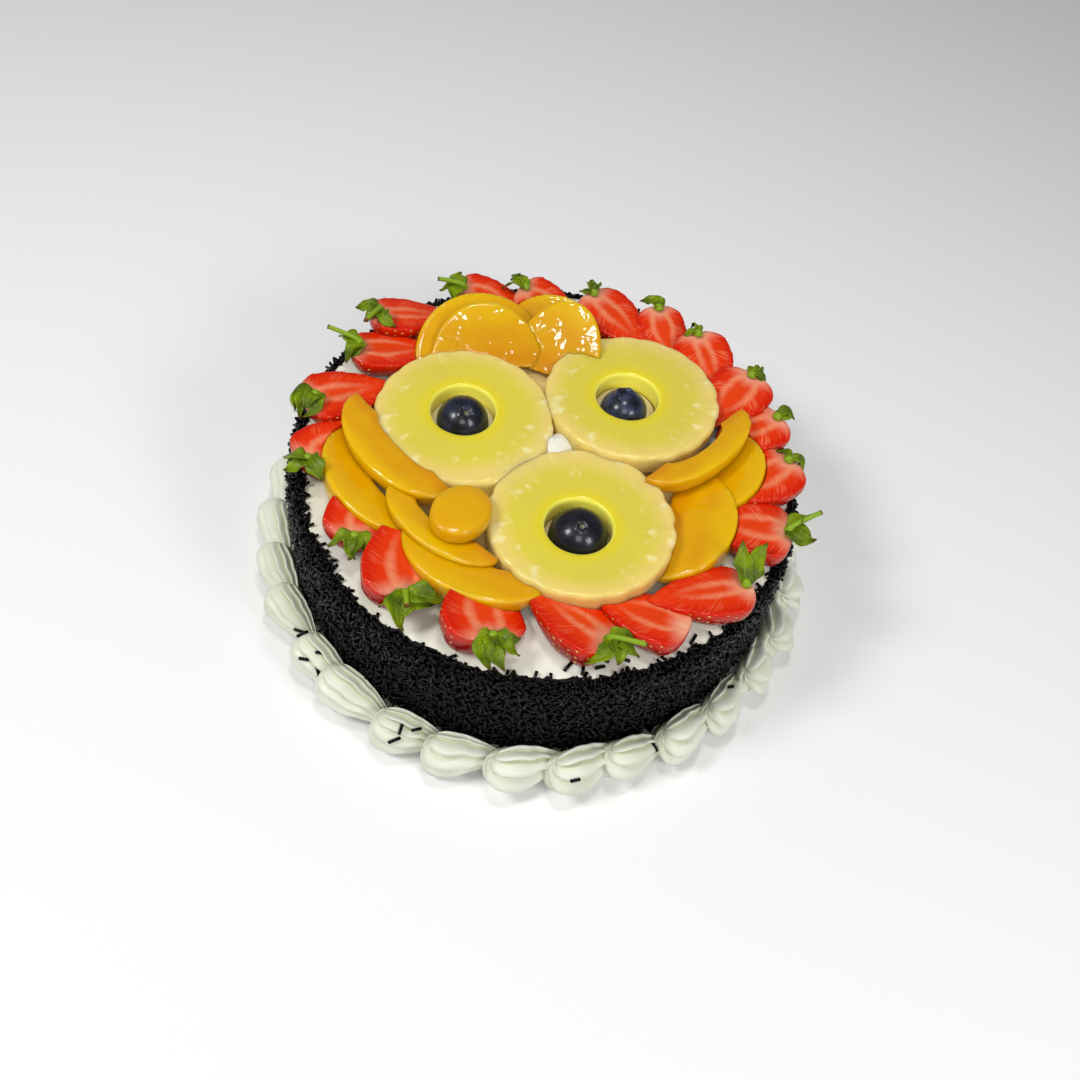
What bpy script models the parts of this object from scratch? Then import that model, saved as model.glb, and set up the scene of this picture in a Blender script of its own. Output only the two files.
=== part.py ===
"""Exotic fruit cake.

A round cream cake, sprinkled black all round its side and bordered with piped shells.
On top lie a fan of halved strawberries, canned peach slices, three pineapple rings
and a blueberry in the eye of each ring. Units are metres, +Z is up, and the origin is
the middle of the cake's base.
"""

import math
import random
from collections import namedtuple

import bmesh
import bpy
from mathutils import Matrix, Vector, noise
from mathutils.bvhtree import BVHTree

MM = 0.001
OBJECT_NAME = "exotic_fruit_cake"
SEED = 11

# Clearances between pieces that touch
GAP = 0.35 * MM
CREAM_GAP = 0.3 * MM
HULL_LIFT = 12.0 * MM
FLAT_ANGLE = math.radians(1.5)

# The cake under its cream
CAKE_RADIUS = 106.0 * MM
CAKE_HEIGHT = 63.0 * MM
RIM_ROUND = 4.5 * MM
CREAM_SWELL = 0.9 * MM
CAKE_COLUMNS = 66
SIDE_ROWS = 6

# Chocolate sprinkles
SPRINKLE_LENGTH = 5.4 * MM
SPRINKLE_RADIUS = 0.85 * MM
SPRINKLE_SIDES = 5
SPRINKLE_RELIEF = 0.9 * MM
RIM_SPRINKLES = (
    (213, 99), (217, 100.5), (222, 100), (263, 100.5), (268, 101), (273, 100), (279, 101),
    (232, 100.5), (252, 100.5),
)
SIDE_SPRINKLE_RINGS = 5
SIDE_SPRINKLES_PER_RING = 15

# The piped border
BORDER_INSIDE = 109.3 * MM
BORDER_MIDDLE = 114.0 * MM
BORDER_OUTSIDE = 124.0 * MM
BORDER_BANK = 15.0 * MM
SHELL_COUNT = 30
SHELL_LENGTH = 35.0 * MM
SHELL_WIDTH = 20.0 * MM
SHELL_HEIGHT = 25.0 * MM
SHELL_RIBS = 5
SHELL_ROWS = 5
SHELL_GROOVE = 0.13
SHELL_SLANT = math.radians(14)
SHELL_SETTLE = 9.5 * MM
TRIMMER_COLUMNS = 36
STRAY_BEARINGS = (199, 214, 229, 262, 294, 328, 31, 118)

# Pineapple rings
RING_RADIUS = 38.1 * MM
RING_HOLE = 13.5 * MM
RING_THICKNESS = 10.0 * MM
RING_EDGE = 1.6 * MM
RING_NOTCHES = 18
RING_NOTCH_DEPTH = 1.0 * MM

# Blueberries
BLUEBERRY_FLATNESS = 0.92
BLUEBERRY_SIDES = 10
CROWN_RADIUS = 3.6 * MM
CROWN_HEIGHT = 1.0 * MM

# Strawberries
BERRY_SIDES = 10
BERRY_ROWS = 6

# Strawberry leaves
LEAF_THICKNESS = 0.8 * MM
LEAF_HUB = 2.4 * MM
LEAF_RISE = 1.8 * MM
LEAF_DROOP = 4.5 * MM
LEAF_WAIST = 0.5
LEAF_BREADTH = 0.24
LEAF_CLEAR = 0.8
STEM_RADIUS = 1.1 * MM

# Where the fruit lies: places in millimetres from the cake's axis, bearings
# in degrees from +X, anticlockwise seen from above. A strawberry's depth is a share of its
# width, roll and pitch turn its cut face, and it sinks so many millimetres into the cream.
Ring = namedtuple("Ring", "name x y rise_x rise_y eye_x eye_y over")
Blueberry = namedtuple("Blueberry", "name x y z radius lean toward")
Berry = namedtuple("Berry", "name x y points_to length width depth roll pitch sink")
Leaves = namedtuple("Leaves", "name berry inset turn count spread length lift stem stem_turn")
Slice = namedtuple("Slice", "name x y z half_length depth wedge pit faces lean")

RINGS = (
    Ring("pineapple_ring_left", -37.8, 8.9, 0.0, 0.0, -0.9, 2.3, "pineapple_ring_back"),
    Ring("pineapple_ring_back", 31.1, 35.4, 0.036, -0.045, -2.1, -1.7, "pineapple_ring_front"),
    Ring("pineapple_ring_front", 17.6, -36.3, 0.028, -0.045, -0.7, -3.4, "pineapple_ring_left"),
)

BLUEBERRIES = (
    Blueberry("blueberry_left", -38.4, 9.3, 5.0, 11.0, 22, 300),
    Blueberry("blueberry_back", 28.4, 30.9, 6.0, 10.2, 12, 100),
    Blueberry("blueberry_front", 17.4, -40.6, 6.0, 12.0, 14, 285),
)

BERRIES = (
    Berry("strawberry_01", -95, -31, 60, 36, 27, 0.45, 6, 6, 4),
    Berry("strawberry_02", -104, 1, 31, 40, 27, 0.45, -3, 6, 3),
    Berry("strawberry_03", -93, 35, 21, 40, 25, 0.45, -10, 7, 3),
    Berry("strawberry_04", -90, 58, 17, 42, 25, 0.45, -10, 7, 3),
    Berry("strawberry_05", -55, 83, 0, 36, 27, 0.45, 0, 8, 3),
    Berry("strawberry_06", -27, 92, -20, 32, 27, 0.45, 0, 8, 3),
    Berry("strawberry_07", 5, 96, -40, 40, 27, 0.45, -3, 8, 3),
    Berry("strawberry_08", 37, 97, -68, 38, 23, 0.45, 0, 8, 3),
    Berry("strawberry_09", 56, 83, -66, 38, 26, 0.45, 3, 8, 3),
    Berry("strawberry_10", 84, 62, 239, 38, 28, 0.45, 4, 7, 3),
    Berry("strawberry_11", 97, 40, 218, 36, 26, 0.45, 4, 6, 3),
    Berry("strawberry_12", 102, 16, 222, 38, 28, 0.48, 10, 6, 4),
    Berry("strawberry_13", 102, -24, 178, 38, 30, 0.48, 8, 5, 4),
    Berry("strawberry_14", 87, -52, 199, 42, 26, 0.5, 14, 4, 4),
    Berry("strawberry_15", 64, -76, 166, 38, 26, 0.5, 14, 4, 4),
    Berry("strawberry_16", 36, -89, 152, 40, 28, 0.52, 20, 2, 5),
    Berry("strawberry_17", -7, -97, 116, 33, 33, 0.5, 22, 0, 6),
    Berry("strawberry_18", -42, -86, 106, 40, 32, 0.5, 20, 0, 6),
    Berry("strawberry_19", -67, -64, 92, 36, 28, 0.48, 16, 2, 5),
)

LEAVES = (
    Leaves("strawberry_leaves_01", "strawberry_01", 2, 20, 4, 150, 12, 0, 0, 0),
    Leaves("strawberry_leaves_02", "strawberry_02", 5, 40, 4, 140, 13, 1, 0, 0),
    Leaves("strawberry_leaves_03", "strawberry_03", 5, 25, 3, 120, 12, 1, 15, -50),
    Leaves("strawberry_leaves_04", "strawberry_04", 5, 35, 3, 130, 12, 1, 14, 25),
    Leaves("strawberry_leaves_05", "strawberry_05", 3, 0, 3, 130, 12, 0, 12, 15),
    Leaves("strawberry_leaves_06", "strawberry_06", 3, 0, 3, 110, 10, 1, 0, 0),
    Leaves("strawberry_leaves_07", "strawberry_07", 3, 0, 3, 110, 9, 0, 0, 0),
    Leaves("strawberry_leaves_08", "strawberry_08", 3, 0, 3, 130, 9, 1, 0, 0),
    Leaves("strawberry_leaves_09", "strawberry_09", 3, 0, 3, 120, 8, 0, 0, 0),
    Leaves("strawberry_leaves_10", "strawberry_10", 3, 0, 3, 130, 8, 0, 0, 0),
    Leaves("strawberry_leaves_11", "strawberry_11", 3, 0, 3, 110, 8, 0, 0, 0),
    Leaves("strawberry_leaves_12", "strawberry_12", 3, 0, 3, 130, 8, 0, 0, 0),
    Leaves("strawberry_leaves_13", "strawberry_13", 2, 0, 4, 150, 12, 3, 14, 35),
    Leaves("strawberry_leaves_14", "strawberry_14", 3, 80, 2, 70, 17, 9, 0, 0),
    Leaves("strawberry_leaves_16", "strawberry_16", 2, 0, 4, 140, 12, 1, 14, 15),
    Leaves("strawberry_leaves_17", "strawberry_17", 2, 0, 4, 140, 13, 0, 0, 0),
    Leaves("strawberry_leaves_18", "strawberry_18", 2, 0, 5, 150, 14, 1, 8, 0),
    Leaves("strawberry_leaves_19", "strawberry_19", 2, 0, 4, 150, 13, 0, 0, 0),
)

# A slice's z is the height of its thin edge over the cream.
# From the top of the heap down, split where the pineapple rings come in.
UPPER_SLICES = (
    Slice("peach_disc", -29, -46.5, 15.0, 11.2, 14.0, 0, 0.0, 250, 8),
    Slice("peach_slice_01", -57.5, -12.5, 12.5, 33, 20, 42, 0.2, 229, -16),
    Slice("peach_slice_10", 58.5, 14.5, 13.0, 31, 16, 46, 0.35, 322, -12),
    Slice("peach_slice_04", -19.5, -57, 9.0, 31, 23, 30, 0.2, 252, -5),
)
LOWER_SLICES = (
    Slice("peach_slice_03", -34, -46, 11.5, 28, 16, 36, 0.3, 238, -10),
    Slice("peach_slice_07", -33, 41, 4.0, 25, 30, 14, 0.0, 105, 24),
    Slice("peach_slice_09", -7, 43, 4.0, 21, 37, 14, 0.0, 78, 19),
    Slice("peach_slice_08", -10, 61, 1.5, 25, 27, 24, 0.0, 80, 16),
    Slice("peach_slice_06", -34, 48, 1.5, 32, 32, 24, 0.0, 125, 16),
    Slice("peach_slice_02", -61, -26, 4.0, 32, 25, 28, 0.3, 222, 3),
    Slice("peach_slice_12", 50, -22, 3.5, 31, 29, 24, 0.0, 350, 4),
    Slice("peach_slice_11", 66, 9, 3.0, 26, 24, 28, 0.0, 345, 6),
)

SLICE_EDGE = 1.5 * MM
SLICE_STEPS = 3
RIM_POINTS = 8
PIT_POINTS = 3
PIT_LENGTH = 0.55
DISC_THICKNESS = 8.0 * MM


# Scene and object helpers


def clear_scene():
    for old in list(bpy.data.objects):
        bpy.data.objects.remove(old, do_unlink=True)


def make_collection(name):
    collection = bpy.data.collections.new(name)
    bpy.context.scene.collection.children.link(collection)
    return collection


def make_material(name, colour, roughness):
    material = bpy.data.materials.new(name)
    material.use_nodes = True
    surface = material.node_tree.nodes["Principled BSDF"]
    surface.inputs["Base Color"].default_value = (*colour, 1.0)
    surface.inputs["Roughness"].default_value = roughness
    surface.inputs["Metallic"].default_value = 0.0
    material.diffuse_color = (*colour, 1.0)
    return material


def object_from_bmesh(bm, name, collection, material=None):
    bmesh.ops.recalc_face_normals(bm, faces=bm.faces)
    mesh = bpy.data.meshes.new(name)
    bm.to_mesh(mesh)
    bm.free()
    obj = bpy.data.objects.new(name, mesh)
    collection.objects.link(obj)
    if material:
        mesh.materials.append(material)
    return obj


def solid_mesh(obj, weld=True):
    """The object's mesh with its modifiers applied, as a new mesh."""
    graph = bpy.context.evaluated_depsgraph_get()
    mesh = bpy.data.meshes.new_from_object(obj.evaluated_get(graph), depsgraph=graph)
    if not weld:
        return mesh
    bm = bmesh.new()
    bm.from_mesh(mesh)
    bmesh.ops.remove_doubles(bm, verts=bm.verts, dist=1e-6)
    bmesh.ops.recalc_face_normals(bm, faces=bm.faces)
    bm.to_mesh(mesh)
    bm.free()
    return mesh


def apply_modifiers(obj, weld=True):
    mesh = solid_mesh(obj, weld)
    obj.modifiers.clear()
    old = obj.data
    obj.data = mesh
    bpy.data.meshes.remove(old)


def curve_to_mesh(obj, name, collection):
    made = bpy.data.objects.new(name, solid_mesh(obj))
    made.matrix_world = obj.matrix_world.copy()
    collection.objects.link(made)
    bpy.data.objects.remove(obj, do_unlink=True)
    return made


def turned(name, profile, steps, collection, material=None):
    """A profile of (radius, height) points, top to bottom down its outer side, turned about Z."""
    bm = bmesh.new()
    points = [bm.verts.new((radius, 0, height)) for radius, height in profile]
    for start, end in zip(points, points[1:]):
        bm.edges.new((start, end))
    mesh = bpy.data.meshes.new(name)
    bm.to_mesh(mesh)
    bm.free()
    obj = bpy.data.objects.new(name, mesh)
    collection.objects.link(obj)
    if material:
        mesh.materials.append(material)
    screw = obj.modifiers.new("Turned", "SCREW")
    screw.steps = steps
    screw.render_steps = steps
    screw.use_merge_vertices = True
    screw.merge_threshold = 0.00001
    apply_modifiers(obj)
    return obj


def boolean(obj, operation, other=None, group=None, solver="EXACT"):
    """Joins or cuts. MANIFOLD is for fruit and leaves, which are too small for EXACT."""
    modifier = obj.modifiers.new(operation.title(), "BOOLEAN")
    modifier.operation = operation
    modifier.solver = solver
    if group:
        modifier.operand_type = "COLLECTION"
        modifier.collection = group
    else:
        modifier.object = other
    apply_modifiers(obj, weld=False)


def remove_group(group):
    for helper in list(group.objects):
        bpy.data.objects.remove(helper, do_unlink=True)


def bodies_of(bm):
    """The faces of each body that hangs together, as lists."""
    left = set(bm.faces)
    bodies = []
    while left:
        body = []
        edge_of_body = [left.pop()]
        while edge_of_body:
            face = edge_of_body.pop()
            body.append(face)
            for edge in face.edges:
                for near in edge.link_faces:
                    if near in left:
                        left.remove(near)
                        edge_of_body.append(near)
        bodies.append(body)
    return bodies


def keep_largest_body(obj):
    bm = bmesh.new()
    bm.from_mesh(obj.data)
    bodies = bodies_of(bm)
    largest = max(bodies, key=lambda body: sum(face.calc_area() for face in body))
    scrap = [face for body in bodies if body is not largest for face in body]
    bmesh.ops.delete(bm, geom=scrap, context="FACES")
    bm.to_mesh(obj.data)
    bm.free()


def place(obj, matrix):
    """Moves the shape itself, so that the object stays at the origin."""
    obj.data.transform(matrix)
    if matrix.determinant() < 0:
        obj.data.flip_normals()


def heading(degrees):
    angle = math.radians(degrees)
    return Vector((math.cos(angle), math.sin(angle), 0))


# The cake and its sprinkles


def cake_profile():
    top = CAKE_HEIGHT
    shoulder = CAKE_HEIGHT - RIM_ROUND
    profile = [
        (0, top - 0.3 * MM),
        (94 * MM, top - 0.1 * MM),
    ]
    for degrees in (90, 45, 10):
        angle = math.radians(degrees)
        radius = CAKE_RADIUS - RIM_ROUND + RIM_ROUND * math.cos(angle)
        profile.append((radius, shoulder + RIM_ROUND * math.sin(angle)))
    for row in range(1, SIDE_ROWS + 1):
        profile.append((CAKE_RADIUS, shoulder * (1 - row / SIDE_ROWS)))
    profile.append((0, 0))
    return profile


def roughen_side(obj, rng):
    """Bumps the sprinkled side outwards by up to the relief, and leaves the base flat."""
    for vertex in obj.data.vertices:
        radius = math.hypot(vertex.co.x, vertex.co.y)
        if radius < CAKE_RADIUS - 0.5 * MM:
            continue
        swell = CREAM_SWELL * noise.noise(vertex.co / (22 * MM))
        push = 1 + (rng.uniform(0, SPRINKLE_RELIEF) + 0.3 * swell) / radius
        vertex.co.x *= push
        vertex.co.y *= push


def sprinkle(name, place_at, along, group):
    """One sprinkle: a short many-sided rod with bevelled ends, its middle at place_at."""
    bm = bmesh.new()
    bmesh.ops.create_cone(
        bm,
        cap_ends=True,
        segments=SPRINKLE_SIDES,
        radius1=SPRINKLE_RADIUS,
        radius2=SPRINKLE_RADIUS,
        depth=SPRINKLE_LENGTH,
    )
    obj = object_from_bmesh(bm, name, group)
    turn = along.to_track_quat("Z", "Y").to_matrix().to_4x4()
    place(obj, Matrix.Translation(place_at) @ turn)
    return obj


def side_sprinkles(group, rng):
    for ring in range(SIDE_SPRINKLE_RINGS):
        height = CAKE_HEIGHT * (0.34 + 0.58 * ring / (SIDE_SPRINKLE_RINGS - 1))
        for index in range(SIDE_SPRINKLES_PER_RING):
            share = (index + 0.5 * (ring % 2) + rng.uniform(-0.2, 0.2)) / SIDE_SPRINKLES_PER_RING
            outward = heading(360 * share)
            sideways = Vector((-outward.y, outward.x, 0))
            slope = rng.uniform(0, math.pi)
            along = sideways * math.cos(slope) + Vector((0, 0, math.sin(slope)))
            spot = outward * (CAKE_RADIUS + 0.95 * MM)
            spot.z = height + rng.uniform(-3.5, 3.5) * MM
            sprinkle("side_sprinkle", spot, along, group)


def rim_sprinkles(group, rng):
    """Strays that lie on the cream just inside the sprinkled edge, at the front."""
    for bearing, reach in RIM_SPRINKLES:
        spot = heading(bearing) * reach * MM
        spot.z = CAKE_HEIGHT + 0.35 * MM
        along = heading(bearing + rng.uniform(20, 160))
        sprinkle("rim_sprinkle", spot, along, group)


def colour_cake(cake, cream, chocolate):
    """Gives the side and the strays on the rim the sprinkles' colour."""
    cake.data.materials.clear()
    cake.data.materials.append(cream)
    cake.data.materials.append(chocolate)
    for face in cake.data.polygons:
        reach = math.hypot(face.center.x, face.center.y)
        on_side = reach > CAKE_RADIUS - 2.5 * MM and 0 < face.center.z
        on_rim = reach > 0.85 * CAKE_RADIUS and face.center.z > CAKE_HEIGHT
        face.material_index = 1 if on_side or on_rim else 0


def make_cake(collection, helpers, cream, chocolate, rng):
    cake = turned("cake_body", cake_profile(), CAKE_COLUMNS, collection, cream)
    roughen_side(cake, rng)
    side_sprinkles(helpers, rng)
    rim_sprinkles(helpers, rng)
    boolean(cake, "UNION", group=helpers)
    remove_group(helpers)
    keep_largest_body(cake)
    colour_cake(cake, cream, chocolate)
    return cake


# The piped border


def shell_girth(share):
    """How thick a shell is along its length: a full head that runs out to a thin tail."""
    return math.sin(math.pi * share**0.62) ** 0.85 * (1 - 0.35 * share)


def piped_shell(index, group, rng):
    """A shell squeezed from a star tube: ribbed, its head out to one side, its tail tucked in."""
    bm = bmesh.new()
    made = bmesh.ops.create_uvsphere(
        bm, u_segments=2 * SHELL_RIBS, v_segments=SHELL_ROWS, radius=1
    )
    size = rng.uniform(0.94, 1.06)
    for vertex in made["verts"]:
        share = 0.5 - 0.5 * vertex.co.z
        turn = math.atan2(vertex.co.y, vertex.co.x)
        girth = shell_girth(min(max(share, 0.0), 1.0))
        girth *= 1 + SHELL_GROOVE * math.cos(SHELL_RIBS * turn)
        girth /= 1 + SHELL_GROOVE
        twisted = turn + 0.9 * share
        vertex.co = Vector((
            (0.5 - share) * SHELL_LENGTH,
            0.5 * SHELL_WIDTH * girth * math.cos(twisted),
            0.5 * SHELL_HEIGHT * girth * math.sin(twisted),
        )) * size
    obj = object_from_bmesh(bm, "piped_shell", group)
    bearing = 360 * (index + rng.uniform(-0.12, 0.12)) / SHELL_COUNT
    slant = SHELL_SLANT + rng.uniform(-0.1, 0.1)
    facing = Matrix.Rotation(math.radians(bearing - 90) + slant, 4, "Z")
    tip_down = Matrix.Rotation(math.radians(-10), 4, "Y")
    spot = heading(bearing) * BORDER_MIDDLE
    spot.z = SHELL_SETTLE
    place(obj, Matrix.Translation(spot) @ facing @ tip_down)


def border_core(collection, material):
    inner = BORDER_INSIDE - 1 * MM
    outer = BORDER_MIDDLE + 4 * MM
    profile = [
        (inner, BORDER_BANK),
        (BORDER_MIDDLE, BORDER_BANK),
        (outer, 0.5 * BORDER_BANK),
        (outer, -1 * MM),
        (inner, -1 * MM),
        (inner, BORDER_BANK),
    ]
    return turned("piped_border", profile, SHELL_COUNT, collection, material)


def border_trimmer(cutters):
    """The space that the cake takes, and all that is under the board's level."""
    depth = 20 * MM
    profile = [
        (0, 60 * MM),
        (BORDER_INSIDE, 60 * MM),
        (BORDER_INSIDE, 0),
        (BORDER_OUTSIDE + 20 * MM, 0),
        (BORDER_OUTSIDE + 20 * MM, -depth),
        (0, -depth),
    ]
    return turned("border_trimmer", profile, TRIMMER_COLUMNS, cutters)


def stray_sprinkles(group, rng):
    for bearing in STRAY_BEARINGS:
        spot = heading(bearing) * (BORDER_MIDDLE + rng.uniform(-1, 3) * MM)
        spot.z = SHELL_SETTLE + 9.5 * MM
        sprinkle("stray_sprinkle", spot, heading(bearing + rng.uniform(0, 180)), group)


def make_border(collection, helpers, cutters, material, rng):
    border = border_core(collection, material)
    for index in range(SHELL_COUNT):
        piped_shell(index, helpers, rng)
    stray_sprinkles(helpers, rng)
    boolean(border, "UNION", group=helpers)
    remove_group(helpers)
    trimmer = border_trimmer(cutters)
    boolean(border, "DIFFERENCE", other=trimmer)
    remove_group(cutters)
    keep_largest_body(border)
    return border


# Fruit


def make_pineapple_ring(ring, collection, material):
    """A canned ring: flat, with a notched rim where the fruit's eyes were cut away."""
    edge = RING_EDGE
    half = RING_THICKNESS / 2
    profile = [
        (RING_HOLE, half),
        (RING_RADIUS - edge, half),
        (RING_RADIUS, half - edge),
        (RING_RADIUS, -half),
        (RING_HOLE, -half),
        (RING_HOLE, half),
    ]
    obj = turned(ring.name, profile, 2 * RING_NOTCHES, collection, material)
    for vertex in obj.data.vertices:
        radius = math.hypot(vertex.co.x, vertex.co.y)
        if radius < RING_HOLE + edge:
            vertex.co.x += ring.eye_x * MM
            vertex.co.y += ring.eye_y * MM
            continue
        if radius < RING_RADIUS - 2 * edge:
            continue
        bearing = math.atan2(vertex.co.y, vertex.co.x)
        notch = RING_NOTCH_DEPTH * (0.5 - 0.5 * math.cos(RING_NOTCHES * bearing))
        vertex.co.x *= 1 - notch / radius
        vertex.co.y *= 1 - notch / radius
    slope = Matrix.Identity(4)
    slope[2][0] = ring.rise_x
    slope[2][1] = ring.rise_y
    place(obj, slope)
    sink = min(vertex.co.z for vertex in obj.data.vertices)
    place(obj, Matrix.Translation((ring.x * MM, ring.y * MM, CAKE_HEIGHT + CREAM_GAP - sink)))
    return obj


def make_blueberry(berry, collection, material):
    """A round berry, a little flat, with the five-pointed crown round its eye."""
    radius = berry.radius * MM
    profile = [(0, 0.80 * radius), (0.6 * CROWN_RADIUS, 0.82 * radius)]
    profile.append((CROWN_RADIUS, 0.84 * radius + CROWN_HEIGHT))
    for degrees in (58, 32, 4, -28, -60):
        angle = math.radians(degrees)
        profile.append((radius * math.cos(angle), BLUEBERRY_FLATNESS * radius * math.sin(angle)))
    profile.append((0, -BLUEBERRY_FLATNESS * radius))
    obj = turned(berry.name, profile, BLUEBERRY_SIDES, collection, material)
    for vertex in obj.data.vertices:
        if vertex.co.z > 0.85 * radius:
            bearing = math.atan2(vertex.co.y, vertex.co.x)
            vertex.co.z -= 0.5 * CROWN_HEIGHT * (1 - math.cos(5 * bearing))
    axis = heading(berry.toward + 90)
    place(obj, Matrix.Rotation(math.radians(berry.lean), 4, axis))
    middle = (berry.x * MM, berry.y * MM, CAKE_HEIGHT + berry.z * MM)
    place(obj, Matrix.Translation(middle))
    trim_below(obj, CAKE_HEIGHT + CREAM_GAP)
    return obj


def berry_girth(share):
    """A strawberry's half width from its leafy end to its tip, as a share of the widest."""
    return min(1.0, 1.04 * math.sin(math.pi * share**0.55) ** 0.72)


def berry_matrix(berry):
    """Turns a half that points along +X, cut side up, to its place in the fan."""
    return (
        Matrix.Translation((berry.x * MM, berry.y * MM, 0))
        @ Matrix.Rotation(math.radians(berry.points_to), 4, "Z")
        @ Matrix.Rotation(math.radians(berry.pitch), 4, "Y")
        @ Matrix.Rotation(math.radians(berry.roll), 4, "X")
    )


def make_strawberry(berry, collection, material):
    """Half a strawberry on its round back, pressed into the cream, with the tip inwards."""
    bm = bmesh.new()
    made = bmesh.ops.create_uvsphere(bm, u_segments=BERRY_SIDES, v_segments=BERRY_ROWS, radius=1)
    for vertex in made["verts"]:
        share = 0.5 + 0.5 * vertex.co.z
        turn = math.atan2(vertex.co.y, vertex.co.x)
        girth = berry_girth(min(max(share, 0.0), 1.0)) * berry.width * MM
        vertex.co = Vector((
            share * berry.length * MM,
            0.5 * girth * math.cos(turn),
            berry.depth * girth * math.sin(turn),
        ))
    everything = list(bm.verts) + list(bm.edges) + list(bm.faces)
    cut = bmesh.ops.bisect_plane(
        bm, geom=everything, plane_co=(0, 0, 0), plane_no=(0, 0, 1), dist=1e-6, clear_outer=True
    )
    rim = [piece for piece in cut["geom_cut"] if isinstance(piece, bmesh.types.BMEdge)]
    bmesh.ops.holes_fill(bm, edges=rim)
    obj = object_from_bmesh(bm, berry.name, collection, material)
    place(obj, berry_matrix(berry))
    lowest = min(vertex.co.z for vertex in obj.data.vertices)
    obj["face_height"] = CAKE_HEIGHT - berry.sink * MM - lowest
    place(obj, Matrix.Translation((0, 0, obj["face_height"])))
    trim_below(obj, CAKE_HEIGHT + CREAM_GAP)
    return obj


def slice_profile(half_length, depth, pit_depth):
    """A slice's cut face as (along, outwards) points: the round rim, then the pit's hollow."""
    rim = []
    for index in range(RIM_POINTS):
        angle = math.pi * index / (RIM_POINTS - 1)
        rim.append((half_length * math.cos(angle), SLICE_EDGE + depth * math.sin(angle)))
    if not pit_depth:
        return rim
    pit = []
    for index in range(PIT_POINTS):
        angle = math.pi * (1 - index / (PIT_POINTS - 1))
        pit.append((
            PIT_LENGTH * half_length * math.cos(angle),
            SLICE_EDGE + pit_depth * depth * math.sin(angle),
        ))
    return rim + pit


def make_peach_slice(piece, collection, material):
    """A wedge of a halved peach: the cut face spun about the line through the fruit's poles."""
    bm = bmesh.new()
    half_wedge = math.radians(piece.wedge) / 2
    profile = slice_profile(piece.half_length * MM, piece.depth * MM, piece.pit)
    points = [bm.verts.new((along, outward, 0)) for along, outward in profile]
    edges = [bm.edges.new(pair) for pair in zip(points, points[1:] + points[:1])]
    bmesh.ops.rotate(bm, verts=points, matrix=Matrix.Rotation(-half_wedge, 3, "X"))
    bmesh.ops.spin(
        bm,
        geom=points + edges,
        axis=(1, 0, 0),
        angle=2 * half_wedge,
        steps=SLICE_STEPS,
    )
    ends = [edge for edge in bm.edges if edge.is_boundary]
    bmesh.ops.holes_fill(bm, edges=ends)
    obj = object_from_bmesh(bm, piece.name, collection, material)
    place_slice(obj, piece)
    return obj


def make_peach_disc(piece, collection, material):
    """The round end cut off a peach, nearly flat."""
    bm = bmesh.new()
    made = bmesh.ops.create_uvsphere(bm, u_segments=14, v_segments=6, radius=1)
    for vertex in made["verts"]:
        around = math.hypot(vertex.co.x, vertex.co.y)
        swell = max(around, 1e-6) ** 0.6 / max(around, 1e-6)
        vertex.co.x *= swell * piece.half_length * MM
        vertex.co.y *= swell * piece.depth * MM
        vertex.co.z *= DISC_THICKNESS / 2
    obj = object_from_bmesh(bm, piece.name, collection, material)
    place_slice(obj, piece)
    return obj


def place_slice(obj, piece):
    """Leans the slice about its thin edge and turns its round rim to where it faces."""
    spot = Vector((piece.x * MM, piece.y * MM, CAKE_HEIGHT + piece.z * MM))
    place(
        obj,
        Matrix.Translation(spot)
        @ Matrix.Rotation(math.radians(piece.faces - 90), 4, "Z")
        @ Matrix.Rotation(math.radians(piece.lean), 4, "X"),
    )
    trim_below(obj, CAKE_HEIGHT + CREAM_GAP)


def trim_below(obj, level):
    """Cuts off what would sink into the cream and closes the cut flat."""
    if min(vertex.co.z for vertex in obj.data.vertices) >= level:
        return
    bm = bmesh.new()
    bm.from_mesh(obj.data)
    everything = list(bm.verts) + list(bm.edges) + list(bm.faces)
    cut = bmesh.ops.bisect_plane(
        bm,
        geom=everything,
        plane_co=(0, 0, level),
        plane_no=(0, 0, -1),
        dist=1e-6,
        clear_outer=True,
    )
    rim = [edge for edge in cut["geom_cut"] if isinstance(edge, bmesh.types.BMEdge)]
    bmesh.ops.holes_fill(bm, edges=rim)
    bmesh.ops.recalc_face_normals(bm, faces=bm.faces)
    bm.to_mesh(obj.data)
    bm.free()


# Strawberry leaves


def leaf_star(leaves, rng):
    """The open surface of a spread calyx: a hub and pointed, wavy sepals fanned about +X."""
    bm = bmesh.new()
    hub = bm.verts.new((-0.3 * LEAF_HUB, 0, 0))
    spread = math.radians(leaves.spread)
    step = spread / leaves.count
    rim = []
    for index in range(leaves.count + 1):
        angle = -spread / 2 + index * step
        rim.append(bm.verts.new((LEAF_HUB * math.cos(angle), LEAF_HUB * math.sin(angle), 0)))
    bm.faces.new([hub, *rim])
    for index in range(leaves.count):
        angle = -spread / 2 + (index + 0.5) * step
        length = leaves.length * MM * rng.uniform(0.8, 1.1)
        own_room = math.tan(step / 2) * LEAF_WAIST * length
        half_width = min(LEAF_BREADTH * length, LEAF_CLEAR * own_room)
        out = Vector((math.cos(angle), math.sin(angle), 0))
        side = Vector((-out.y, out.x, 0))
        waist = out * length * LEAF_WAIST
        up = Vector((0, 0, 1))
        right = bm.verts.new(waist - side * half_width + up * rng.uniform(0.2, 1.6) * MM)
        left = bm.verts.new(waist + side * half_width + up * rng.uniform(0.2, 1.6) * MM)
        droop = leaves.lift * MM - LEAF_DROOP + rng.uniform(-0.8, 0.8) * MM
        tip = bm.verts.new(out * length + up * droop)
        bm.faces.new([rim[index], right, left, rim[index + 1]])
        bm.faces.new([right, tip, left])
    bmesh.ops.triangulate(bm, faces=bm.faces)
    return bm


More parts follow.
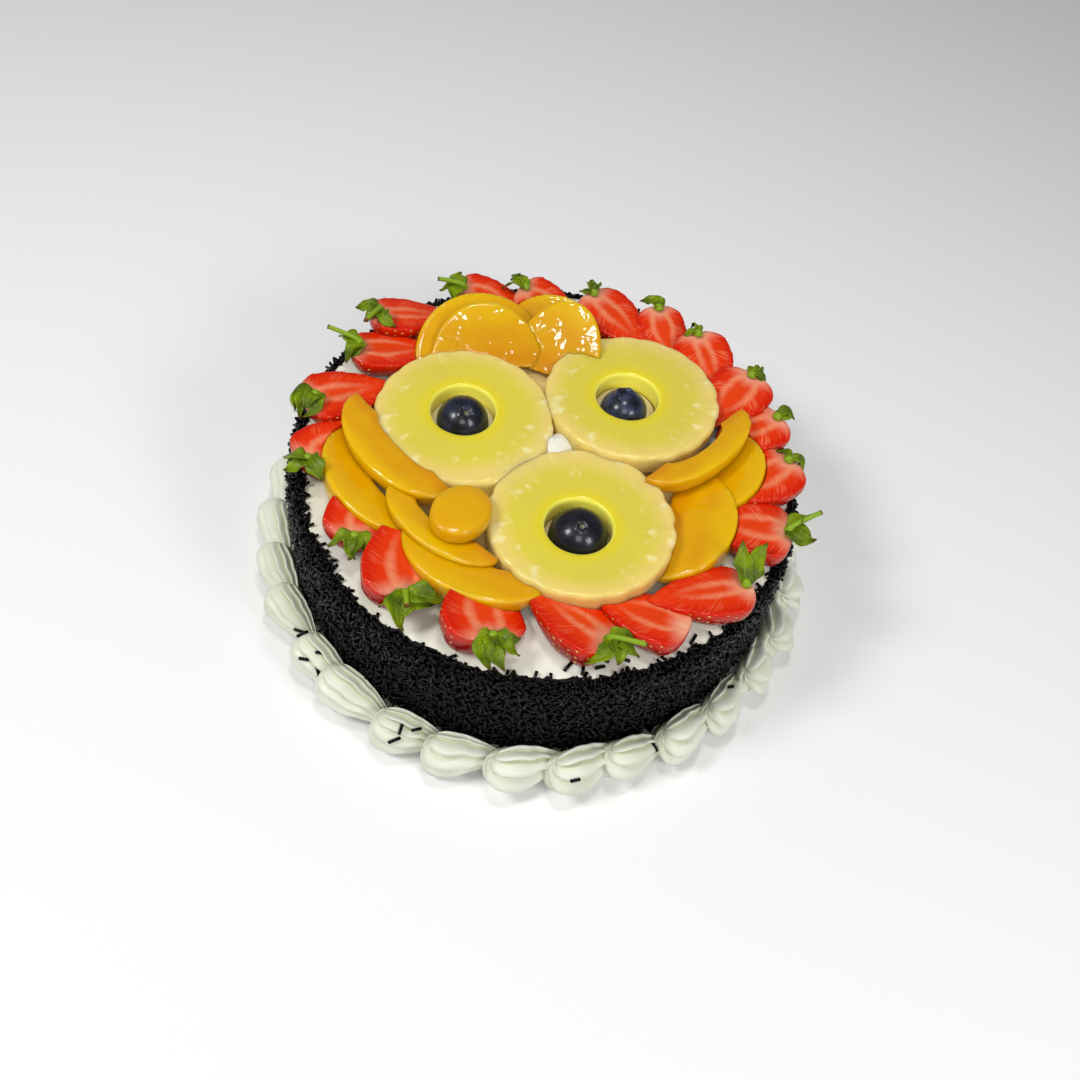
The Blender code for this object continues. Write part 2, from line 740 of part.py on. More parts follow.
def add_stem(leaves, matrix, obj, helpers):
    """A short stalk that rises from the hub and leans away, fused to the leaves."""
    data = bpy.data.curves.new("stem", "CURVE")
    data.dimensions = "3D"
    data.bevel_depth = STEM_RADIUS
    data.bevel_resolution = 0
    data.use_fill_caps = True
    spline = data.splines.new("POLY")
    out = heading(leaves.stem_turn) * leaves.stem * MM
    route = [
        Vector((0.0, 0, 0)),
        out * 0.5 + Vector((0, 0, 0.20 * leaves.stem * MM)),
        out + Vector((0, 0, 0.28 * leaves.stem * MM)),
    ]
    spline.points.add(len(route) - 1)
    for point, spot in zip(spline.points, route):
        point.co = (*spot, 1)
    spline.points[-1].radius = 0.7
    curve = bpy.data.objects.new("stem", data)
    helpers.objects.link(curve)
    bpy.context.view_layer.update()
    stem = curve_to_mesh(curve, "stem", helpers)
    place(stem, matrix)
    boolean(obj, "UNION", group=helpers, solver="MANIFOLD")
    remove_group(helpers)
    keep_largest_body(obj)


def make_leaves(leaves, collection, helpers, material, rng):
    """The calyx of one half strawberry, spread from over its leafy end."""
    berry = next(each for each in BERRIES if each.name == leaves.berry)
    outward = berry.points_to + 180
    spot = Vector((berry.x * MM, berry.y * MM, 0)) - heading(outward) * leaves.inset * MM
    spot.z = bpy.data.objects[leaves.berry]["face_height"] + LEAF_RISE
    facing = Matrix.Rotation(math.radians(outward + leaves.turn), 4, "Z")
    matrix = Matrix.Translation(spot) @ facing
    obj = object_from_bmesh(leaf_star(leaves, rng), leaves.name, collection, material)
    solidify = obj.modifiers.new("Thickness", "SOLIDIFY")
    solidify.thickness = LEAF_THICKNESS
    solidify.offset = 0
    apply_modifiers(obj)
    place(obj, matrix)
    if leaves.stem:
        add_stem(leaves, matrix, obj, helpers)
    return obj


# Fitting the heap together


def tree_of(obj):
    bm = bmesh.new()
    bm.from_mesh(obj.data)
    tree = BVHTree.FromBMesh(bm)
    bm.free()
    return tree


def swollen_copy(obj, collection):
    """A copy that is larger all round by the gap, to cut its neighbours with."""
    bm = bmesh.new()
    bm.from_mesh(obj.data)
    bmesh.ops.recalc_face_normals(bm, faces=bm.faces)
    bm.normal_update()
    moves = [(vertex, vertex.normal * vertex.calc_shell_factor() * GAP) for vertex in bm.verts]
    for vertex, move in moves:
        if move.length > 4 * GAP:
            move = move.normalized() * 4 * GAP
        vertex.co += move
    cutter = object_from_bmesh(bm, "cutter_" + obj.name, collection)
    cutter.hide_render = True
    cutter.display_type = "WIRE"
    return cutter


def raised_hull(cutter, collection):
    """The space that a higher piece takes, with the air over it: no tip may show through."""
    bm = bmesh.new()
    for lift in (0, HULL_LIFT):
        for vertex in cutter.data.vertices:
            bm.verts.new(vertex.co + Vector((0, 0, lift)))
    made = bmesh.ops.convex_hull(bm, input=bm.verts)
    loose = [piece for piece in made["geom_interior"] if isinstance(piece, bmesh.types.BMVert)]
    bmesh.ops.delete(bm, geom=loose, context="VERTS")
    hull = object_from_bmesh(bm, "raised_" + cutter.name, collection)
    hull.hide_render = True
    hull.display_type = "WIRE"
    return hull


def fit_under(lower, cutter):
    """Cuts the lower piece back from a higher one where the two would cross."""
    if not tree_of(lower).overlap(tree_of(cutter)):
        return
    boolean(lower, "DIFFERENCE", other=cutter, solver="MANIFOLD")
    keep_largest_body(lower)


def fit_heap(order, heap, rings, cutters):
    """order runs from the top of the heap down. Rings lap one over the next, all round."""
    swollen = {obj.name: swollen_copy(obj, cutters) for obj in order}
    raised = {obj.name: raised_hull(swollen[obj.name], cutters) for obj in heap}
    laps = {(ring.over, ring.name) for ring in RINGS}
    for index, lower in enumerate(order):
        for upper in order[:index]:
            if upper in rings and lower in rings:
                continue
            over_tip = lower.name.startswith("strawberry") and upper.name in raised
            cutter = raised[upper.name] if over_tip else swollen[upper.name]
            fit_under(lower, cutter)
    by_name = {obj.name: obj for obj in rings}
    for under, over in sorted(laps):
        fit_under(by_name[under], swollen[over])
    remove_group(cutters)


def join_flat_faces(obj):
    """Joins the flat faces that cutting has split, so that a face has few triangles."""
    bm = bmesh.new()
    bm.from_mesh(obj.data)
    bmesh.ops.dissolve_limit(bm, angle_limit=FLAT_ANGLE, verts=bm.verts, edges=bm.edges)
    bmesh.ops.triangulate(bm, faces=bm.faces)
    bm.to_mesh(obj.data)
    bm.free()


def shade(obj):
    obj.data.shade_smooth()
    obj.data.set_sharp_from_angle(angle=math.radians(40))


def main():
    clear_scene()
    rng = random.Random(SEED)
    cake_parts = make_collection(OBJECT_NAME)
    helpers = make_collection("joined_pieces")
    cutters = make_collection("cutters")
    cream = make_material("whipped_cream", (0.82, 0.80, 0.70), 0.45)
    chocolate = make_material("chocolate_sprinkles", (0.012, 0.009, 0.011), 0.35)
    strawberry = make_material("strawberry_flesh", (0.72, 0.05, 0.015), 0.3)
    leaf = make_material("strawberry_leaf", (0.12, 0.25, 0.02), 0.6)
    peach = make_material("peach_flesh", (0.75, 0.36, 0.0), 0.2)
    pineapple = make_material("pineapple_flesh", (0.76, 0.66, 0.12), 0.3)
    blueberry = make_material("blueberry_skin", (0.012, 0.014, 0.035), 0.35)

    make_cake(cake_parts, helpers, cream, chocolate, rng)
    make_border(cake_parts, helpers, cutters, cream, rng)
    blue = [make_blueberry(each, cake_parts, blueberry) for each in BLUEBERRIES]
    upper = [make_peach_disc(UPPER_SLICES[0], cake_parts, peach)]
    upper += [make_peach_slice(each, cake_parts, peach) for each in UPPER_SLICES[1:]]
    rings = [make_pineapple_ring(each, cake_parts, pineapple) for each in RINGS]
    lower = [make_peach_slice(each, cake_parts, peach) for each in LOWER_SLICES]
    red = [make_strawberry(each, cake_parts, strawberry) for each in BERRIES]
    green = [make_leaves(each, cake_parts, helpers, leaf, rng) for each in LEAVES]
    heap = upper + rings + lower
    fit_heap(blue + heap + green + red, heap, rings, cutters)
    for obj in blue + heap + green + red:
        join_flat_faces(obj)
    for obj in cake_parts.objects:
        shade(obj)


main()
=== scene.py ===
# %% [markdown]
# # Exotic fruit cake
# A round cream cake with black chocolate sprinkles on its side, a piped border and a heap of
# glazed fruit on top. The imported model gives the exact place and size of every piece. This
# lesson dresses it: each step makes one kind of piece at full detail, in the place of its
# plain solid, and gives it a finish built from shader nodes.

# %% Load the frame
import math
import random
from collections import namedtuple

import bmesh
import bpy
import numpy as np
from mathutils import Matrix, Vector, noise
from mathutils.bvhtree import BVHTree


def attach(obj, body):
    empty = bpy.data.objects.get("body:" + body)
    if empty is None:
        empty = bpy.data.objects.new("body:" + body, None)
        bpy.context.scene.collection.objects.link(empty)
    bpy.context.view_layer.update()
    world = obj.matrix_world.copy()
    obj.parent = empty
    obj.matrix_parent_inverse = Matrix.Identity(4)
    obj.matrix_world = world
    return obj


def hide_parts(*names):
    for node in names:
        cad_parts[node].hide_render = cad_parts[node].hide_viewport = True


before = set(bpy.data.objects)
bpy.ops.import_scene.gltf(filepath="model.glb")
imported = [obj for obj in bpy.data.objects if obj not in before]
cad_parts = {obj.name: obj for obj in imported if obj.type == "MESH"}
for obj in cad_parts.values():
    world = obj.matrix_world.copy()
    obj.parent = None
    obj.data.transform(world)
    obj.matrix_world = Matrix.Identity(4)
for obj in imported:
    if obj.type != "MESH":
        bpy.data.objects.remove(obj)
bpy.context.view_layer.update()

MM = 0.001
print("the packed model holds", len(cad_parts), "nodes")

# %% [markdown]
# ## The camera
# The photograph looks down on the cake from about 54 degrees, a little rolled, from half a
# metre away. A camera is a place and three directions. Its matrix holds the direction to the
# right, the one upwards and the one backwards as columns, so no aiming constraint is needed.

# %% Place the camera
CAMERA_SPOT = Vector((2.87, -299.86, 419.62)) * MM
CAMERA_FORWARD = Vector((0.0, 0.5872, -0.8095)).normalized()
CAMERA_RIGHT = Vector((0.984, 0.1444, 0.1048)).normalized()
SENSOR_WIDTH = 36.0
FOCAL_LENGTH = 36.667

camera_up = CAMERA_RIGHT.cross(CAMERA_FORWARD)
camera_data = bpy.data.cameras.new("photo_camera")
camera_data.sensor_width = SENSOR_WIDTH
camera_data.lens = FOCAL_LENGTH
camera_data.clip_start = 0.01
camera = bpy.data.objects.new("photo_camera", camera_data)
columns = (CAMERA_RIGHT, camera_up, -CAMERA_FORWARD, CAMERA_SPOT)
upper_rows = [[column[row] for column in columns] for row in range(3)]
camera.matrix_world = Matrix(upper_rows + [[0, 0, 0, 1]])
bpy.context.scene.collection.objects.link(camera)
bpy.context.scene.camera = camera
print("camera at", [round(value, 3) for value in camera.location])

# %% [markdown]
# ## Floor and light
# Food looks fresh under soft lights that are still small enough to leave clear bright patches
# on the glaze. The main lamp stands high on the left, a weaker one in front on the right, and
# a third over the camera. None is where flat tops would mirror it into the camera, so the wet
# fruit keeps its deep colours. A small one overhead is mirrored only by what leans towards the
# camera, like the upper peaches, and gives them their glare. A dim white world fills in the rest.

# %% Floor, world and lamps
FLOOR_SIDE = 6.0
LAMP_AIM = Vector((0, 0, 0.05))


def principled(name, colour, roughness):
    """A new material with one Principled shader, which the caller then works on."""
    material = bpy.data.materials.new(name)
    material.use_nodes = True
    shader = material.node_tree.nodes["Principled BSDF"]
    shader.inputs["Base Color"].default_value = (*colour, 1)
    shader.inputs["Roughness"].default_value = roughness
    return material, shader


def area_lamp(name, spot, side, power):
    """A square soft light that looks at the cake. Its spot and side are in metres."""
    data = bpy.data.lights.new(name, "AREA")
    data.shape = "SQUARE"
    data.size = side
    data.energy = power
    lamp = bpy.data.objects.new(name, data)
    lamp.location = spot
    lamp.rotation_euler = (LAMP_AIM - Vector(spot)).to_track_quat("-Z", "Y").to_euler()
    bpy.context.scene.collection.objects.link(lamp)


floor_mesh = bpy.data.meshes.new("floor")
half = FLOOR_SIDE / 2
corners = [(-half, -half, 0), (half, -half, 0), (half, half, 0), (-half, half, 0)]
floor_mesh.from_pydata(corners, [], [(0, 1, 2, 3)])
floor = bpy.data.objects.new("floor", floor_mesh)
bpy.context.scene.collection.objects.link(floor)
floor_paint, _ = principled("pale_floor", (0.88, 0.88, 0.88), 0.6)
floor_mesh.materials.append(floor_paint)

world = bpy.data.worlds.new("soft_studio")
world.use_nodes = True
world.node_tree.nodes["Background"].inputs["Color"].default_value = (1.0, 1.0, 1.0, 1)
world.node_tree.nodes["Background"].inputs["Strength"].default_value = 0.2
bpy.context.scene.world = world
area_lamp("left_light", (-0.6, -0.25, 0.85), side=0.26, power=4.8)
area_lamp("right_light", (0.6, -0.45, 0.6), side=0.24, power=2.5)
area_lamp("top_light", (0.1, -0.75, 1.0), side=0.4, power=2.9)
area_lamp("glare_light", (-0.02, 0.08, 1.0), side=0.15, power=1.9)
bpy.context.scene.view_settings.view_transform = "Standard"

# %% [markdown]
# ## Small tools for node trees
# A finish is a chain of nodes: a pattern, a ramp that turns it into colours, and the shader.
# Written out in full, each node takes four lines, so these helpers add a node, join it to the
# ones before and hand back its output. Shader trees and Geometry Nodes trees share the first.

# %% Node helpers


def add_node(tree, kind, values=None, **settings):
    """Adds a node. values go to its sockets: an output is joined, anything else is set."""
    node = tree.nodes.new(kind)
    for name, value in settings.items():
        setattr(node, name, value)
    for socket, value in (values or {}).items():
        if isinstance(value, bpy.types.NodeSocket):
            tree.links.new(value, node.inputs[socket])
        else:
            node.inputs[socket].default_value = value
    return node


def maths(tree, operation, first, second=0.0):
    return add_node(tree, "ShaderNodeMath", {0: first, 1: second}, operation=operation).outputs[0]


def ease(tree, value, low, high):
    """0 below low, 1 above high, and an easy curve between."""
    values = {"Value": value, "From Min": low, "From Max": high}
    return add_node(tree, "ShaderNodeMapRange", values, interpolation_type="SMOOTHSTEP").outputs[0]


def fade(tree, value, low, high):
    """The reverse of ease: 1 below low and 0 above high."""
    return maths(tree, "SUBTRACT", 1.0, ease(tree, value, low, high))


def blend_paint(tree, factor, first, second):
    values = {0: factor, 6: first, 7: second}
    return add_node(tree, "ShaderNodeMix", values, data_type="RGBA").outputs[2]


def tint(tree, factor, strength, under, over):
    """Lays a colour over another by a pattern, and never more than strength lets it."""
    return blend_paint(tree, maths(tree, "MULTIPLY", factor, strength), under, over)


def paint(red, green, blue):
    """A colour as seen on screen, 0 to 255, as the linear colour that shaders take."""
    linear = []
    for value in (red, green, blue):
        share = value / 255
        linear.append(share / 12.92 if share < 0.04045 else ((share + 0.055) / 1.055) ** 2.4)
    return (*linear, 1)


def object_place(tree):
    return add_node(tree, "ShaderNodeTexCoord").outputs["Object"]


def stored(tree, name, output="Fac"):
    """A value that the mesh carries at each point."""
    return add_node(tree, "ShaderNodeAttribute", attribute_name=name).outputs[output]


def apart(tree, vector):
    return add_node(tree, "ShaderNodeSeparateXYZ", {0: vector}).outputs


def together(tree, x, y, z=0.0):
    return add_node(tree, "ShaderNodeCombineXYZ", {0: x, 1: y, 2: z}).outputs[0]


def cloud(tree, place, scale, detail=2.0, roughness=0.5):
    """Soft noise from 0 to 1. scale is how many clouds fit into one unit of the place."""
    values = {"Vector": place, "Scale": scale, "Detail": detail, "Roughness": roughness}
    return add_node(tree, "ShaderNodeTexNoise", values).outputs["Fac"]


def bump(tree, height, depth, below=None):
    """Tilts the surface as if it rose by depth metres where height is 1."""
    values = {"Height": height, "Distance": depth, "Strength": 1.0}
    if below:
        values["Normal"] = below
    return add_node(tree, "ShaderNodeBump", values).outputs[0]


def new_finish(name, roughness):
    """A material for a food, its shader and tree, and the place that its patterns read."""
    material, shader = principled(name, (1, 1, 1), roughness)
    return material, shader, material.node_tree, object_place(material.node_tree)


def finish(material, shader, colour, relief, **constants):
    """Joins colour and relief to the shader, and sets what is the same all over it."""
    material.node_tree.links.new(colour, shader.inputs["Base Color"])
    material.node_tree.links.new(relief, shader.inputs["Normal"])
    for name, value in constants.items():
        shader.inputs[name.replace("_", " ")].default_value = value
    return material


print("node helpers ready, and a mid grey is", round(paint(128, 128, 128)[0], 3))

# %% [markdown]
# ## Small tools for shapes
# Every fruit here is a closed skin that follows a formula: rings of points, one after the
# other, from one pole to the other. numpy works the points out in one go, and one helper
# joins them. Pieces are then pushed apart with Booleans, like the solids they stand for, and a
# voxel Remesh with a little Smooth rounds the sharp cut edges as knives and syrup leave them.

# %% Shape helpers
CAKE_TOP = 63.0
CREAM_GAP = 0.3
PIECE_GAP = 0.1
HULL_LIFT = 12.0


def heading(degrees):
    angle = math.radians(degrees)
    return Vector((math.cos(angle), math.sin(angle), 0))


def turn(degrees, axis):
    return Matrix.Rotation(math.radians(degrees), 4, axis)


def object_of(name, mesh, linked=True):
    made = bpy.data.objects.new(name, mesh)
    if linked:
        bpy.context.scene.collection.objects.link(made)
    return made


def faces_between(rows, columns, joined=False):
    """Four-sided faces between rings of points, and from the last to the first if joined."""
    faces = []
    for row in range(rows if joined else rows - 1):
        here, below = row * columns, (row + 1) % rows * columns
        for column in range(columns):
            beside = (column + 1) % columns
            faces.append((here + column, here + beside, below + beside, below + column))
    return faces


def skin_over(name, rings, first, last):
    """A closed mesh over rings of points, with one more point at each end. All in mm."""
    rows, columns = rings.shape[:2]
    points = np.concatenate([rings.reshape(-1, 3), [first, last]]) * MM
    faces = faces_between(rows, columns)
    pole = rows * columns
    for column in range(columns):
        beside = (column + 1) % columns
        faces.append((pole, beside, column))
        start = (rows - 1) * columns
        faces.append((pole + 1, start + column, start + beside))
    mesh = bpy.data.meshes.new(name)
    mesh.from_pydata(points.tolist(), [], faces)
    return point_outwards(mesh)


def point_outwards(mesh):
    bm = bmesh.new()
    bm.from_mesh(mesh)
    bmesh.ops.recalc_face_normals(bm, faces=bm.faces)
    bm.to_mesh(mesh)
    bm.free()
    mesh.shade_smooth()
    return mesh


def open_skin(name, rings, joined=False):
    """A mesh over rings of points with no end points: a band, or a ring when joined."""
    mesh = bpy.data.meshes.new(name)
    mesh.from_pydata((rings.reshape(-1, 3) * MM).tolist(), [], faces_between(*rings.shape[:2], joined))
    return mesh


def full_turn(count):
    """Even angles once round, in radians."""
    return np.linspace(0, 2 * math.pi, count, endpoint=False)


def lathe_grid(profile, columns):
    """The two values of each profile point, and the angle, at every point of a turned piece."""
    out, angle = np.meshgrid(profile[:, 0], full_turn(columns), indexing="ij")
    return out, np.repeat(profile[:, 1:], columns, axis=1), angle


def ball_grid(rows, columns):
    """The angle from the upper pole and the angle round, without the poles themselves."""
    return np.meshgrid(np.linspace(0, math.pi, rows + 2)[1:-1], full_turn(columns), indexing="ij")


def turned_points(out, angle, height):
    return np.stack([out * np.cos(angle), out * np.sin(angle), height], axis=-1)


def points_of(mesh):
    flat = np.empty(len(mesh.vertices) * 3, np.float32)
    mesh.vertices.foreach_get("co", flat)
    return flat.reshape(-1, 3).astype(float)


def set_points(mesh, points):
    mesh.vertices.foreach_set("co", points.astype(np.float32).ravel())
    mesh.update()


def normals_of(mesh):
    flat = np.empty(len(mesh.vertices) * 3, np.float32)
    mesh.vertices.foreach_get("normal", flat)
    return flat.reshape(-1, 3).astype(float)


def evaluated_mesh(made):
    """The mesh that the object's modifiers make, with the modifiers then removed."""
    bpy.context.view_layer.update()
    graph = bpy.context.evaluated_depsgraph_get()
    mesh = bpy.data.meshes.new_from_object(made.evaluated_get(graph))
    made.modifiers.clear()
    return mesh


def cut_away(lower, cutter):
    modifier = lower.modifiers.new("fit", "BOOLEAN")
    modifier.operation = "DIFFERENCE"
    modifier.solver = "MANIFOLD"
    modifier.object = cutter
    lower.data = evaluated_mesh(lower)


def rounded(made, voxel, passes, swell):
    """Remeshes a piece in even cells and smooths it, which rounds its cut edges.

    The smoothing also shrinks it a little, and the swell in mm gives that back.
    """
    remesh = made.modifiers.new("even", "REMESH")
    remesh.mode = "VOXEL"
    remesh.voxel_size = voxel * MM
    smooth = made.modifiers.new("round", "SMOOTH")
    smooth.factor = 0.5
    smooth.iterations = passes
    made.data = evaluated_mesh(made)
    set_points(made.data, points_of(made.data) + normals_of(made.data) * swell * MM)
    made.data.shade_smooth()


def store(mesh, name, values, kind="FLOAT"):
    """Keeps a number or a vector for each point, which a material can read."""
    layer = mesh.attributes.new(name, kind, "POINT")
    layer.data.foreach_set("value" if kind == "FLOAT" else "vector", np.asarray(values, np.float32).ravel())


def in_own_frame(mesh, matrix):
    """The points in mm, as the piece lay before the matrix put it in its place."""
    back = np.array(matrix.inverted())
    return (points_of(mesh) / MM) @ back[:3, :3].T + back[:3, 3]


def scaled_place(matrix):
    """A placing matrix in mm, for a mesh in metres."""
    return Matrix.Scale(MM, 4) @ matrix @ Matrix.Scale(1 / MM, 4)


def dress(made, material, slot, *nodes):
    """Hands a finished piece over: its finish and the solids that it stands for. Its slot is not used."""
    made.data.materials.clear()
    made.data.materials.append(material)
    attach(made, "root")
    if nodes:
        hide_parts(*nodes)


print("shape helpers ready")

# %% [markdown]
# ## Cream and chocolate finishes
# Whipped cream is an off-white foam: soft, hardly shiny, with a little light going into it.
# Its colour is not one value, so a slow noise shifts it between two creams, and a fine one
# makes the tiny pits that bubbles leave. The sprinkles are sugar and cocoa under a glaze:
# nearly black, with small sharp highlights. The cream under them carries a value called
# cover, which the material turns into a ragged dark bed, so that no white shows between.

# %% Cream and chocolate materials
SPRINKLE_BLACK = paint(2, 2, 3)
SPRINKLE_BROWN = paint(12, 9, 9)


def cream_colour(tree, light, dark):
    clouds = cloud(tree, object_place(tree), 28)
    return blend_paint(tree, ease(tree, clouds, 0.35, 0.65), dark, light)


def cream_relief(tree):
    place = object_place(tree)
    folds = bump(tree, cloud(tree, place, 60, 2), 0.0006)
    return bump(tree, cloud(tree, place, 900), 0.00002, folds)


def piped_cream():
    material, shader = principled("piped_cream", (1, 1, 1), 0.45)
    tree = material.node_tree
    colour = cream_colour(tree, paint(232, 234, 219), paint(224, 227, 207))
    # The creases between the ribs are painted a darker, yellower cream: painted shade.
    crease_shade_mask = ease(tree, stored(tree, "fold"), 0.25, 1.0)
    shaded = blend_paint(tree, crease_shade_mask, colour, paint(212, 213, 184))
    return finish(
        material, shader, shaded, cream_relief(tree),
        Subsurface_Weight=0.1, Subsurface_Radius=(1.0, 0.95, 0.75), Subsurface_Scale=0.001,
    )


def sprinkled_cream():
    """Cream on the top, and the dark bed of broken sprinkles where cover says so."""
    material, shader, tree, place = new_finish("sprinkled_cream", 0.45)
    plain = cream_colour(tree, paint(231, 231, 219), paint(224, 223, 206))
    cream = tint(tree, stored(tree, "juice"), 0.8, plain, paint(238, 206, 110))
    crumbs = cloud(tree, place, 450)
    ragged = maths(tree, "MULTIPLY_ADD", crumbs, 0.9)
    ragged.node.inputs[2].default_value = -0.45
    bed = ease(tree, maths(tree, "ADD", stored(tree, "cover"), ragged), 0.45, 0.55)
    dark = blend_paint(tree, crumbs, SPRINKLE_BLACK, SPRINKLE_BROWN)
    rough = bump(tree, maths(tree, "MULTIPLY", crumbs, bed), 0.0006, cream_relief(tree))
    return finish(
        material, shader, blend_paint(tree, bed, cream, dark), rough,
        Specular_IOR_Level=0.15,
    )


def chocolate_glaze():
    material, shader, tree, place = new_finish("chocolate_glaze", 0.24)
    tone = ease(tree, cloud(tree, place, 350), 0.45, 0.75)
    colour = blend_paint(tree, tone, SPRINKLE_BLACK, SPRINKLE_BROWN)
    grain = bump(tree, cloud(tree, place, 2500), 0.00005)
    return finish(material, shader, colour, grain, Specular_IOR_Level=0.08, Coat_Weight=0.15, Coat_Roughness=0.05)


CREAM = sprinkled_cream()
PIPED = piped_cream()
CHOCOLATE = chocolate_glaze()
print("three finishes:", CREAM.name, PIPED.name, CHOCOLATE.name)

# %% [markdown]
# ## The creamed cake
# A spatula leaves the top of a cake flat but not true: it has low waves that run round it and
# a soft shoulder at the edge. The body is turned like a lathe piece, from a profile of radius
# and height, and each point is then moved a little by smooth noise. It could be a Screw
# modifier with a Displace, but working the points out directly also gives each point two
# values: cover says where the sprinkles lie, and juice where the fruit has stained the cream.

# %% The cake body
CAKE_RADIUS = 106.0
RIM_ROUND = 4.5
CAKE_COLUMNS = 400
TOP_ROWS = 46
SIDE_ROWS = 34
COVER_START = 102.6
COVER_FOOT = 7.0
JUICE_REACH = 74.0
# how high the spatula's broad waves, its fine ones and its round swirl are, and the swirl's
# distance between crests over a full turn of its sine
BROAD_WAVE = 0.25
FINE_WAVE = 0.06
SWIRL_WAVE = 0.10
SWIRL_PITCH = 3.1


def wobble(x, y, z, size, seed=0.0):
    """Smooth noise from about -1 to 1 at points in mm."""
    spots = zip(np.ravel(x), np.ravel(y), np.ravel(z))
    values = [noise.noise(Vector((a / size, b / size, c / size + seed))) for a, b, c in spots]
    return np.array(values).reshape(np.shape(x))


def cake_profile():
    """(radius, height) from the middle of the top down the side to the base."""
    top = [(radius, CAKE_TOP) for radius in np.linspace(2, CAKE_RADIUS - RIM_ROUND, TOP_ROWS)]
    rim = []
    for angle in np.linspace(math.pi / 2, 0, 8)[1:]:
        radius = CAKE_RADIUS - RIM_ROUND + RIM_ROUND * math.cos(angle)
        rim.append((radius, CAKE_TOP - RIM_ROUND + RIM_ROUND * math.sin(angle)))
    side = [(CAKE_RADIUS, height) for height in np.linspace(CAKE_TOP - RIM_ROUND, 0, SIDE_ROWS)[1:]]
    return np.array(top + rim + side)


def cake_body():
    radius, height, angle = lathe_grid(cake_profile(), CAKE_COLUMNS)
    flat_x = radius * np.cos(angle)
    flat_y = radius * np.sin(angle)
    broad = wobble(flat_x, flat_y, height, 24)
    fine = wobble(flat_x, flat_y, height, 7, 5)
    on_top = height > CAKE_TOP - 0.5
    swirl = np.sin(radius / SWIRL_PITCH + 1.5 * broad + 2 * angle)
    waves = BROAD_WAVE * broad + FINE_WAVE * fine + SWIRL_WAVE * swirl
    height = height + np.where(on_top, waves - 0.3, 0)
    push = np.where(on_top, 0, 0.5 * broad + 0.15 * fine)
    radius = radius + push
    rings = turned_points(radius, angle, height)
    mesh = skin_over("creamed_cake", rings, (0, 0, CAKE_TOP - 0.2), (0, 0, 0))
    points = points_of(mesh) / MM
    reach = np.hypot(points[:, 0], points[:, 1])
    ragged = wobble(points[:, 0], points[:, 1], points[:, 2], 5, 9)
    edge = COVER_START + 1.4 * ragged
    inside = np.clip((reach - edge) / 1.5, 0, 1)
    foot = np.clip((points[:, 2] - COVER_FOOT) / 3, 0, 1)
    store(mesh, "cover", inside * foot)
    store(mesh, "juice", np.clip((JUICE_REACH - reach + 3 * ragged) / 8, 0, 1))
    return object_of("creamed_cake", mesh)


cake = cake_body()
dress(cake, CREAM, "chocolate_sprinkled_cream", "cake_body")
print("the creamed cake has", len(cake.data.polygons), "faces")

# %% [markdown]
# ## Chocolate sprinkles
# A sprinkle is a short rod of chocolate paste, 5 mm long and 1.5 mm thick. More than twelve
# thousand of them stick to the side, lying in every direction, and at the top edge they stand
# up from the cream in a ragged line. Placing them by hand is out of the question, and
# particles would be lost in the export, so Geometry Nodes scatter points on a band of surface,
# put a rod on each, turn it at random and make the result real mesh. A flat-lying layer comes
# first, and a looser layer with tilted rods lies over it. A rod has only two dozen faces, which
# keeps a layer light, and smooth shading rounds it. A second tree sets chosen shapes on chosen
# spots. It makes the piped border, the pips and the stray sprinkles further on.

# %% One sprinkle, and the tree that scatters it
SPRINKLE_LENGTH = 4.9
SPRINKLE_THICKNESS = 1.45
SPRINKLE_SIDES = 6
SPRINKLE_BLUNT = 0.15        # how far the ends stand out, as a share of the radius


def sprinkle_mesh():
    """A rod along X with blunt, slightly pointed ends, of only two dozen faces."""
    half = SPRINKLE_LENGTH / 2
    radius = SPRINKLE_THICKNESS / 2
    blunt = SPRINKLE_BLUNT * radius
    sections = ((-half + blunt, 0.9), (half - blunt, 0.9))
    rings = np.array([
        [(along, share * radius * math.cos(a), share * radius * math.sin(a)) for a in full_turn(SPRINKLE_SIDES)]
        for along, share in sections
    ])
    return skin_over("sprinkle", rings, (-half - blunt, 0, 0), (half + blunt, 0, 0))


def new_tree(name, inputs):
    """A Geometry Nodes tree with named inputs. It hands back the tree and its two end nodes."""
    tree = bpy.data.node_groups.new(name, "GeometryNodeTree")
    tree.interface.new_socket("Geometry", in_out="INPUT", socket_type="NodeSocketGeometry")
    for label, kind in inputs:
        tree.interface.new_socket(label, in_out="INPUT", socket_type=kind)
    tree.interface.new_socket("Geometry", in_out="OUTPUT", socket_type="NodeSocketGeometry")
    return tree, tree.nodes.new("NodeGroupInput"), tree.nodes.new("NodeGroupOutput")


def run_tree(made, tree, values):
    """Puts the tree on an object, sets its inputs by identifier and keeps the mesh it makes."""
    modifier = made.modifiers.new(tree.name, "NODES")
    modifier.node_group = tree
    for item in tree.interface.items_tree:
        if item.in_out == "INPUT" and item.name in values:
            modifier[item.identifier] = values[item.name]
    return evaluated_mesh(made)


def carried(tree, name, kind="FLOAT"):
    """A value that the points carry, in a Geometry Nodes tree."""
    return add_node(tree, "GeometryNodeInputNamedAttribute", {"Name": name}, data_type=kind).outputs[0]


def random_number(tree, low, high, seed):
    node = add_node(tree, "FunctionNodeRandomValue", {"Seed": seed}, data_type="FLOAT")
    for socket, value in ((2, low), (3, high)):
        if isinstance(value, bpy.types.NodeSocket):
            tree.links.new(value, node.inputs[socket])
        else:
            node.inputs[socket].default_value = value
    return node.outputs[1]


def rotated(tree, rotation, x=0.0, y=0.0, z=0.0):
    by = add_node(tree, "FunctionNodeEulerToRotation", {0: together(tree, x, y, z)}).outputs[0]
    values = {"Rotation": rotation, "Rotate By": by}
    return add_node(tree, "FunctionNodeRotateRotation", values, rotation_space="LOCAL").outputs[0]


